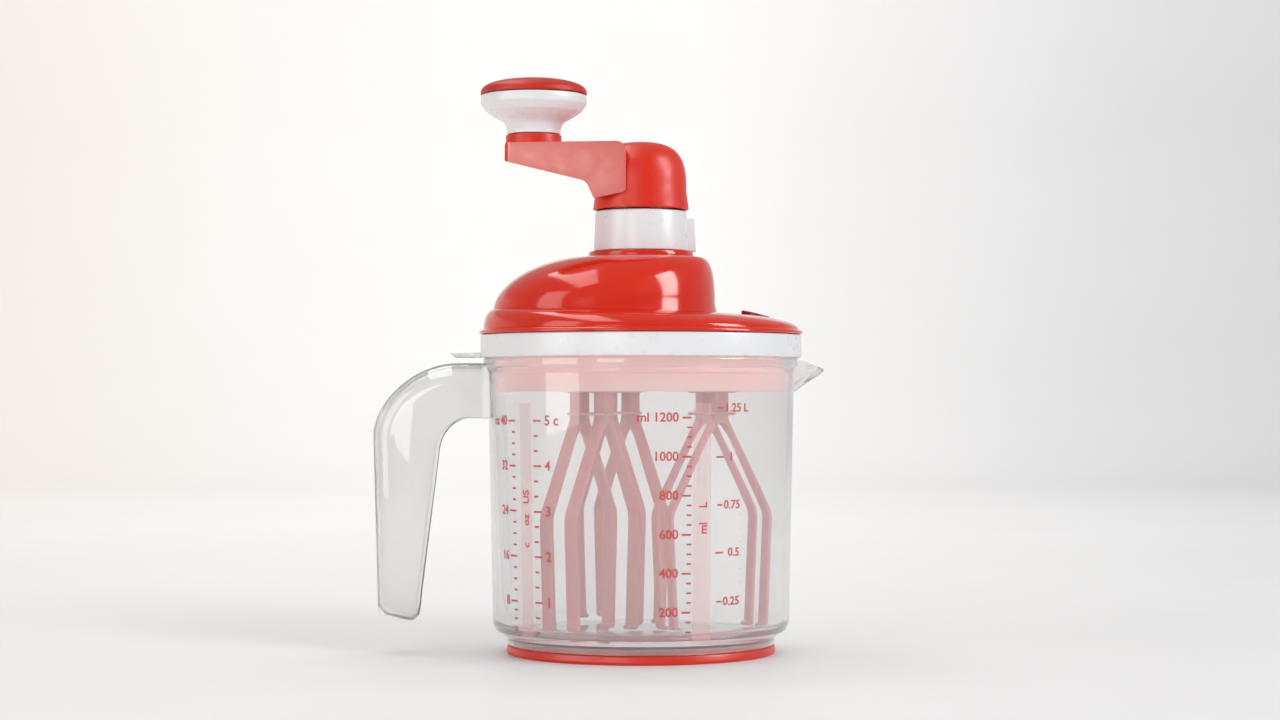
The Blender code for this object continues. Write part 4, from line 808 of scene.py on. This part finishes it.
def make_cover():
    rings = [
        flat_ring(69.2, COVER_FOOT),
        flat_ring(69.6, 136.7),
        flat_ring(69.6, 137.2),
        flat_ring(69.3, 137.7),
        flat_ring(68.6, 138.1),
    ]
    rings += cover_bands(0, 14, 22)
    rings += [
        flat_ring(22.9, DOME_TOP),
        flat_ring(22.5, 169.9),
        flat_ring(22.5, 171.4),
        flat_ring(22.2, 171.8),
        flat_ring(21.6, 171.9),
        flat_ring(18.6, 171.9),
        flat_ring(18.6, 167.4),
    ]
    rings += reversed(cover_bands(COVER_WALL, 4, 6))
    rings += [
        flat_ring(63.7, COVER_FOOT),
        flat_ring(63.7, 131.3),
        flat_ring(65.7, 131.3),
        flat_ring(65.7, COVER_FOOT),
    ]
    bm = bmesh.new()
    loops = []
    for x_left, z_left, x_right, z_right in rings:
        middle = (x_left + x_right) / 2
        radius = (x_right - x_left) / 2
        tilt = (z_right - z_left) / (x_right - x_left)
        loop = []
        for i in range(ROUND):
            angle = math.tau * i / ROUND
            x = middle + radius * math.cos(angle)
            loop.append(bm.verts.new((x, radius * math.sin(angle), z_left + tilt * (x - x_left))))
        loops.append(loop)
    bridge(bm, loops, loops[1:] + loops[:1])
    hole = rod_mesh("cover_hole", FILLER_HOLE, 120, 180, 48, (FILLER, 0))
    mesh = combine("red_cover", settle(bm, "cover_shell"), [("DIFFERENCE", hole)])
    add_piece("red_cover", mesh, RED, "lid", ("top_cover",))


def make_filler():
    """The funnel, its mouth cut to the cover's slope."""
    corners = [
        (FILLER_RADIUS, 147.0, 1.1),
        (FILLER_RADIUS, 119.9),
        (8.0, 119.9, 0.3),
        (8.0, 118.5, 0.3),
        (FILLER_RADIUS, 118.5),
        (FILLER_RADIUS, 116.0, 0.3),
        (5.0, 116.0, 0.3),
        (5.0, 147.0, 0.5),
    ]
    mesh = turned_mesh("filler", corners, True, 64, place=(FILLER, 0))
    for vert in mesh.vertices:
        x = (vert.co.x - AXIS.x) / MM - FILLER
        if vert.co.z > 140.0 * MM:
            vert.co.z -= (x + FILLER_RADIUS) * FILLER_SLOPE * MM
    add_piece("dark_filler_funnel", mesh, RED_FUNNEL_SHADE, "lid", ("filler_funnel",))


def make_turret():
    corners = [
        (19.6, TURRET_TOP, 0.9),
        (20.3, TURRET_FOOT, 0.4),
        (18.3, TURRET_FOOT),
        (18.3, 166.7, 0.3),
        (16.3, 166.7, 0.3),
        (16.3, 185.6, 0.8),
        (10.1, 185.6, 0.6),
        (10.1, 143.4, 0.3),
        (7.5, 143.4, 0.3),
        (7.5, 188.4),
        (9.3, 188.4),
        (9.3, TURRET_TOP, 0.3),
    ]
    shell = turned_mesh("turret", corners, True, 96)
    tab = []
    for x in (18.6, 23.9):
        for y in (-3.5, 3.5):
            tab += [(x, y, TURRET_FOOT), (x - 0.6, y, 186.6)]
    wing = hull_mesh("turret_tab", tab, 0.7)
    turn = Matrix.Rotation(math.radians(15), 4, "Z")
    wing.transform(Matrix.Translation(AXIS) @ turn @ Matrix.Translation(-AXIS))
    mesh = combine("white_turret", shell, [("UNION", wing)])
    add_piece("white_turret", mesh, WHITE, "lid", ("turret_collar",))


# Crank and knob

ARM_LENGTH = 58.3
ARM_TOP = 218.1
ARM_FACE_END = -6.4
ARM_HALF = 12.2
ARM_FLARE = 8.0
UNDERSIDE_TOP = 213.7
UNDERSIDE_SLOPE = 0.1
UNDERSIDE_FRONT = 16.2
HUB_SHOULDER = 198.0
KNOB_PLACE = (-THROW, 0)
CAP_RADIUS = 22.9


def arm_half(x):
    """Half the arm's width at a place along it, from its far end to the crank's axis."""
    return ARM_HALF + (x + ARM_LENGTH) * ARM_FLARE / ARM_LENGTH


def arm_blank():
    """The cranked arm: a side outline cut to its plan, its underside hidden behind the front face."""
    side = [
        (-ARM_LENGTH, ARM_TOP, 1.2),
        (-ARM_LENGTH, 209.7, 0.8),
        (-23.4, 201.3, 4.5),
        (-20.1, 194.0, 0.6),
        (ARM_FACE_END, 196.9, 2.0),
        (ARM_FACE_END, ARM_TOP, 4.0),
    ]
    plan = [
        (-ARM_LENGTH, ARM_HALF, 3.5),
        (-ARM_LENGTH, -ARM_HALF, 3.5),
        (0.0, -ARM_HALF - ARM_FLARE),
        (0.0, ARM_HALF + ARM_FLARE),
    ]
    across = slab_mesh("arm_side", rounded(side, True, 6), 60.6, 0)
    for vert in across.vertices:
        if vert.co.z < UNDERSIDE_TOP * MM:
            vert.co.z += UNDERSIDE_SLOPE * (vert.co.y + UNDERSIDE_FRONT * MM)
    along = slab_mesh("arm_plan", rounded(plan, True, 6), 80.0, 0, standing=False, middle=205.0)
    blank = combine("arm_blank", across, [("INTERSECT", along)])
    bm = bmesh.new()
    bm.from_mesh(blank)
    bmesh.ops.remove_doubles(bm, verts=bm.verts, dist=0.00001)
    bmesh.ops.dissolve_limit(bm, angle_limit=ONE_DEGREE, verts=bm.verts, edges=bm.edges)
    sharp = [e for e in bm.edges if len(e.link_faces) == 2 and e.calc_face_angle() > math.radians(50)]
    bevel(bm, sharp, 0.9 * MM)
    bm.to_mesh(blank)
    bm.free()
    return blank


def make_crank():
    dome = superquarter(19.6, HUB_TOP - HUB_SHOULDER, 3, 22)
    skirt = [(20.7, HUB_FOOT, 0.5), (18.7, HUB_FOOT, 0.3), (18.7, 191.6), (0, 191.6)]
    hub = turned_mesh("hub", [(r, HUB_SHOULDER + h) for r, h in reversed(dome)] + skirt, False, 112)
    boss = [(0, BOSS_TOP), (12.0, BOSS_TOP, 0.6), (12.1, 215.0), (0, 215.0)]
    steps = [
        ("UNION", arm_blank()),
        ("UNION", turned_mesh("boss", boss, False, 96, place=KNOB_PLACE)),
        ("DIFFERENCE", rod_mesh("socket", 4.9, 188.0, 206.8, 6)),
        ("DIFFERENCE", rod_mesh("axle_hole", AXLE_BORE, 212.0, 226.0, 32, KNOB_PLACE)),
    ]
    mesh = combine("red_crank_arm", hub, steps)
    add_piece("red_crank_arm", mesh, RED_CRANK, "crank", ("crank_arm",))
    paint_arm_faces(mesh)


def paint_arm_faces(mesh):
    """The arm's two flat sides are paler than the rest of the crank: a painted sheen for the soft
    reflection on them.
    """
    mesh.materials.append(RED_ARM_SHEEN)
    for face in mesh.polygons:
        x, y, _ = (face.center - AXIS) / MM
        if x < ARM_FACE_END and abs(abs(y) - arm_half(x)) < 0.3 and abs(face.normal.z) < 0.3:
            face.material_index = 1


def make_knob():
    body = [
        (22.5, 239.4, 0.5),
        (CAP_RADIUS, 237.6, 1.6),
        (22.8, 235.6, 2.0),
        (20.4, 232.2, 4.0),
        (16.6, 229.8, 6.0),
        (12.6, 227.6, 4.5),
        (11.5, 224.4, 2.0),
        (11.5, KNOB_FOOT, 0.4),
        (AXLE_BORE, KNOB_FOOT, 0.2),
        (AXLE_BORE, 233.2),
        (9.0, 233.2),
        (9.0, 239.4, 0.3),
    ]
    mesh = turned_mesh("white_knob", body, True, 112, 6, KNOB_PLACE)
    add_piece("white_knob", mesh, WHITE, "knob", ("knob_body",))
    dome = [(r, 240.3 + h) for r, h in reversed(superquarter(CAP_RADIUS, 6.2, 2.4, 20))]
    cap = dome + [(CAP_RADIUS, CAP_FOOT, 0.3), (8.7, CAP_FOOT), (8.7, 237.9), (0, 237.9)]
    mesh = turned_mesh("red_knob_cap", cap, False, 112, place=KNOB_PLACE)
    add_piece("red_knob_cap", mesh, RED_CAP_SHADED, "knob", ("knob_cap",))


# Whisks

WHISK_TURNS = (27, 57, -54)
FRAME_MIDDLE = 6.1
FRAME_WIDTH = 6.0
SLOT_HALF = 3.5
SLOT_FIT = 0.6


def whisk_places():
    """Each whisk's axis in millimetres from the jug's, from the joints."""
    places = []
    for number in (1, 2, 3):
        x, y, _ = JOINTS[f"whisk_{number}_spin"]["pos_m"]
        places.append(((x - AXIS.x) / MM, (y - AXIS.y) / MM))
    return places


def frame_outline():
    """An upside-down Y of ribbon, from the top of its stem round the right leg and back."""
    outer = [
        (3.2, 112.2),
        (3.2, 100.0, 6.0),
        (24.8, 60.0, 12.0),
        (22.6, 10.2, 4.2),
        (19.0, 10.2),
    ]
    inner = [
        (19.0, 12.0),
        (20.8, 12.0, 1.2),
        (23.0, 59.4, 10.0),
        (6.2, 92.2, 6.0),
        (0, 100.2, 3.0),
    ]
    right = rounded(outer, False, 8)[:-1]
    toe = corner_points(outer[-2], (*outer[-1], 0.8), inner[0], 3)
    toe += corner_points(outer[-1], (*inner[0], 0.8), inner[1], 3)
    mirrored = [(-x, y, *r) for x, y, *r in reversed(inner[:-1])]
    inside = rounded(inner + mirrored, False, 8)[1:-1]
    left = [(-x, y) for x, y in reversed(right + toe)]
    return right + toe + inside + left


def slotted(name, corners, low, high):
    """A turned disc with a slot through it for each of the two frames."""
    slot = [(-SLOT_HALF, low), (SLOT_HALF, low), (SLOT_HALF, high), (-SLOT_HALF, high)]
    slots = []
    for side in (-1, 1):
        mesh = slab_mesh("slot", slot, FRAME_WIDTH + SLOT_FIT, 0, middle=side * FRAME_MIDDLE)
        slots.append(("DIFFERENCE", mesh))
    return combine(name, turned_mesh("disc", corners, False, 64), slots)


def make_whisks():
    outline = frame_outline()
    hub = [(0, 115.4), (10.4, 115.4, 1.0), (10.4, 111.2, 0.8), (0, 111.2)]
    disc = [(0, 102.9), (10.2, 102.9, 0.4), (10.2, 101.7, 0.4), (0, 101.7)]
    for number, (x, y) in enumerate(whisk_places(), 1):
        body = f"whisk_{number}"
        turn = Matrix.Rotation(math.radians(WHISK_TURNS[number - 1]), 4, "Z")
        place = Matrix.Translation(AXIS + Vector((x, y, 0)) * MM) @ turn @ Matrix.Translation(-AXIS)
        meshes = []
        for letter, side in (("a", -1), ("b", 1)):
            mesh = slab_mesh("ribbon", outline, FRAME_WIDTH, 0.5, middle=side * FRAME_MIDDLE)
            meshes.append((f"{body}_ribbon_{letter}", mesh, f"whisk_frame_{number}{letter}"))
        meshes.append((f"{body}_hub", slotted("hub", hub, 108.0, 112.7), f"whisk_hub_{number}"))
        meshes.append((f"{body}_spacer", slotted("spacer", disc, 100.0, 105.0), f"whisk_spacer_{number}"))
        for name, mesh, node in meshes:
            mesh.transform(place)
            add_piece(name, mesh, WHISK, body, (node,))


# Parts kept from the frame


def finish_kept_parts():
    finishes = {
        "gear_plate": WHITE_SATIN,
        "drive_shaft": WHITE_SATIN,
        "sun_gear": WHITE_SATIN,
        "shaft_circlip": STEEL,
        "knob_axle": STEEL,
        "shaft_bush_upper": NATURAL,
        "shaft_bush_lower": NATURAL,
    }
    for number in (1, 2, 3):
        finishes[f"plate_screw_{number}"] = STEEL
        finishes[f"spindle_bush_{number}"] = NATURAL
        finishes[f"pinion_{number}"] = NATURAL
    for name, material in finishes.items():
        node = frame["nodes"][name]
        if not node.material_slots:
            node.data.materials.append(material)
        for slot in node.material_slots:
            slot.material = material


# Stage, light and camera

FLOOR_RADIUS = 2600.0
FLOOR_EDGE = 40.0
FLOOR_DEPTH = 30.0
STAGE_HEIGHT = 1000.0
STAGE_CURVE = 800.0
WORLD_STRENGTH = 0.44

# The camera's places are in metres, its lens in millimetres and its tilt in degrees
CAMERA_LEFT = 0.0004
CAMERA_AWAY = 1.09
CAMERA_HEIGHT = 0.1104
CAMERA_TILT = 0.79
CAMERA_LENS = 71.2
CAMERA_SENSOR = 36.0


def floor_material():
    """Pale paper with painted light across it: warm on the left, brightest white behind the jug and a
    darker cool shade on the right.
    """
    floor, tree, shader = new_material("pale_floor")
    place = tree.nodes.new("ShaderNodeTexCoord")
    split = tree.nodes.new("ShaderNodeSeparateXYZ")
    tree.links.new(place.outputs["Object"], split.inputs["Vector"])
    patches = remap(tree, noise(tree, 2.5, 4), 0, 1)
    warm = tint(tree, patches, (0.84, 0.80, 0.765), (0.86, 0.825, 0.79))
    white = tint(tree, patches, (0.93, 0.925, 0.915), (0.96, 0.95, 0.945))
    cool = tint(tree, patches, (0.64, 0.65, 0.67), (0.67, 0.68, 0.70))
    # Painted light: the blend across X makes the floor brightest behind the jug and shaded cool towards
    # the right.
    colour = warm
    for other, start, end in ((white, -0.95, -0.25), (cool, 0.1, 1.0)):
        across = tree.nodes.new("ShaderNodeMix")
        across.data_type = "RGBA"
        tree.links.new(remap(tree, split.outputs["X"], 0, 1, start, end), across.inputs["Factor"])
        tree.links.new(colour, across.inputs["A"])
        tree.links.new(other, across.inputs["B"])
        colour = across.outputs["Result"]
    tree.links.new(colour, shader.inputs["Base Color"])
    tree.links.new(remap(tree, noise(tree, 30, 4), 0.5, 0.62), shader.inputs["Roughness"])
    bump(tree, shader, noise(tree, 500, 4), 0.05, 0.0002)
    return floor


def make_stage():
    corners = [
        (0, -FLOOR_DEPTH),
        (FLOOR_RADIUS, -FLOOR_DEPTH),
        (FLOOR_RADIUS, STAGE_HEIGHT),
        (FLOOR_RADIUS - FLOOR_EDGE, STAGE_HEIGHT),
        (FLOOR_RADIUS - FLOOR_EDGE, 0.0, STAGE_CURVE),
        (0, 0.0),
    ]
    mesh = turned_mesh("floor", corners, False, 96, 32)
    mesh.materials.append(floor_material())
    stage = linked("floor", mesh)
    smooth(mesh)


def area_light(name, place, aim, size, energy, colour, glossy=False):
    """A soft light that either lights surfaces or only shows in their gloss."""
    data = bpy.data.lights.new(name, "AREA")
    data.shape = "RECTANGLE"
    data.size, data.size_y = size
    data.energy = energy
    data.color = colour
    made = linked(name, data)
    made.location = place
    made.rotation_euler = (Vector(aim) - Vector(place)).to_track_quat("-Z", "Y").to_euler()
    made.visible_camera = False
    made.visible_diffuse = not glossy
    made.visible_glossy = glossy
    made.visible_transmission = not glossy


def make_lights():
    """Soft lights all round, then the four panels that draw the highlights, in metres."""
    middle = (AXIS.x, 0, 0.12)
    dome = (AXIS.x, 0, 0.16)
    hub = (-0.02, 0, 0.207)
    warm = (1.0, 0.98, 0.95)
    pale = (1.0, 0.99, 0.98)
    area_light("key", (-1.04, -0.60, 0.55), (AXIS.x, 0, 0.55), (0.7, 1.1), 1.8, warm)
    area_light("front", (-0.68, -1.40, 0.62), middle, (0.6, 0.6), 2.4, pale)
    area_light("fill", (1.15, -1.0, 1.0), middle, (0.8, 0.8), 11, (0.95, 0.97, 1.0))
    area_light("top", (0.0, 0.2, 1.7), middle, (1.6, 1.6), 4.2, (1.0, 1.0, 1.0))
    area_light("wash", (-0.2, 0.9, 2.0), (-0.2, 2.6, 0.5), (3.2, 1.0), 30, pale)
    area_light("band", (-1.06, -0.64, 0.58), (AXIS.x, 0, 0.58), (0.62, 1.16), 8, warm, True)
    area_light("sheen", (-0.56, -1.50, 0.35), hub, (0.55, 0.55), 4, pale, True)
    area_light("pill", (1.27, -0.41, 0.84), dome, (0.5, 1.0), 23, pale, True)
    area_light("roof", (-0.38, 0.0, 1.16), dome, (1.5, 0.36), 8, pale, True)
    world = bpy.data.worlds.new("studio")
    world.use_nodes = True
    background = world.node_tree.nodes["Background"]
    background.inputs["Color"].default_value = (*pale, 1)
    background.inputs["Strength"].default_value = WORLD_STRENGTH
    bpy.context.scene.world = world


def make_camera():
    data = bpy.data.cameras.new("camera")
    data.lens = CAMERA_LENS
    data.sensor_width = CAMERA_SENSOR
    data.clip_start = 0.05
    made = linked("camera", data)
    made.location = (AXIS.x - CAMERA_LEFT, -CAMERA_AWAY, CAMERA_HEIGHT)
    made.rotation_euler = (math.radians(90 + CAMERA_TILT), 0, 0)
    bpy.context.scene.camera = made


make_jug()
make_base_ring()
make_scales()
make_lid_ring()
make_gear_tray()
make_cover()
make_filler()
make_turret()
make_crank()
make_knob()
make_whisks()
finish_kept_parts()
make_stage()
make_lights()
make_camera()
bpy.context.scene.view_settings.view_transform = "Standard"
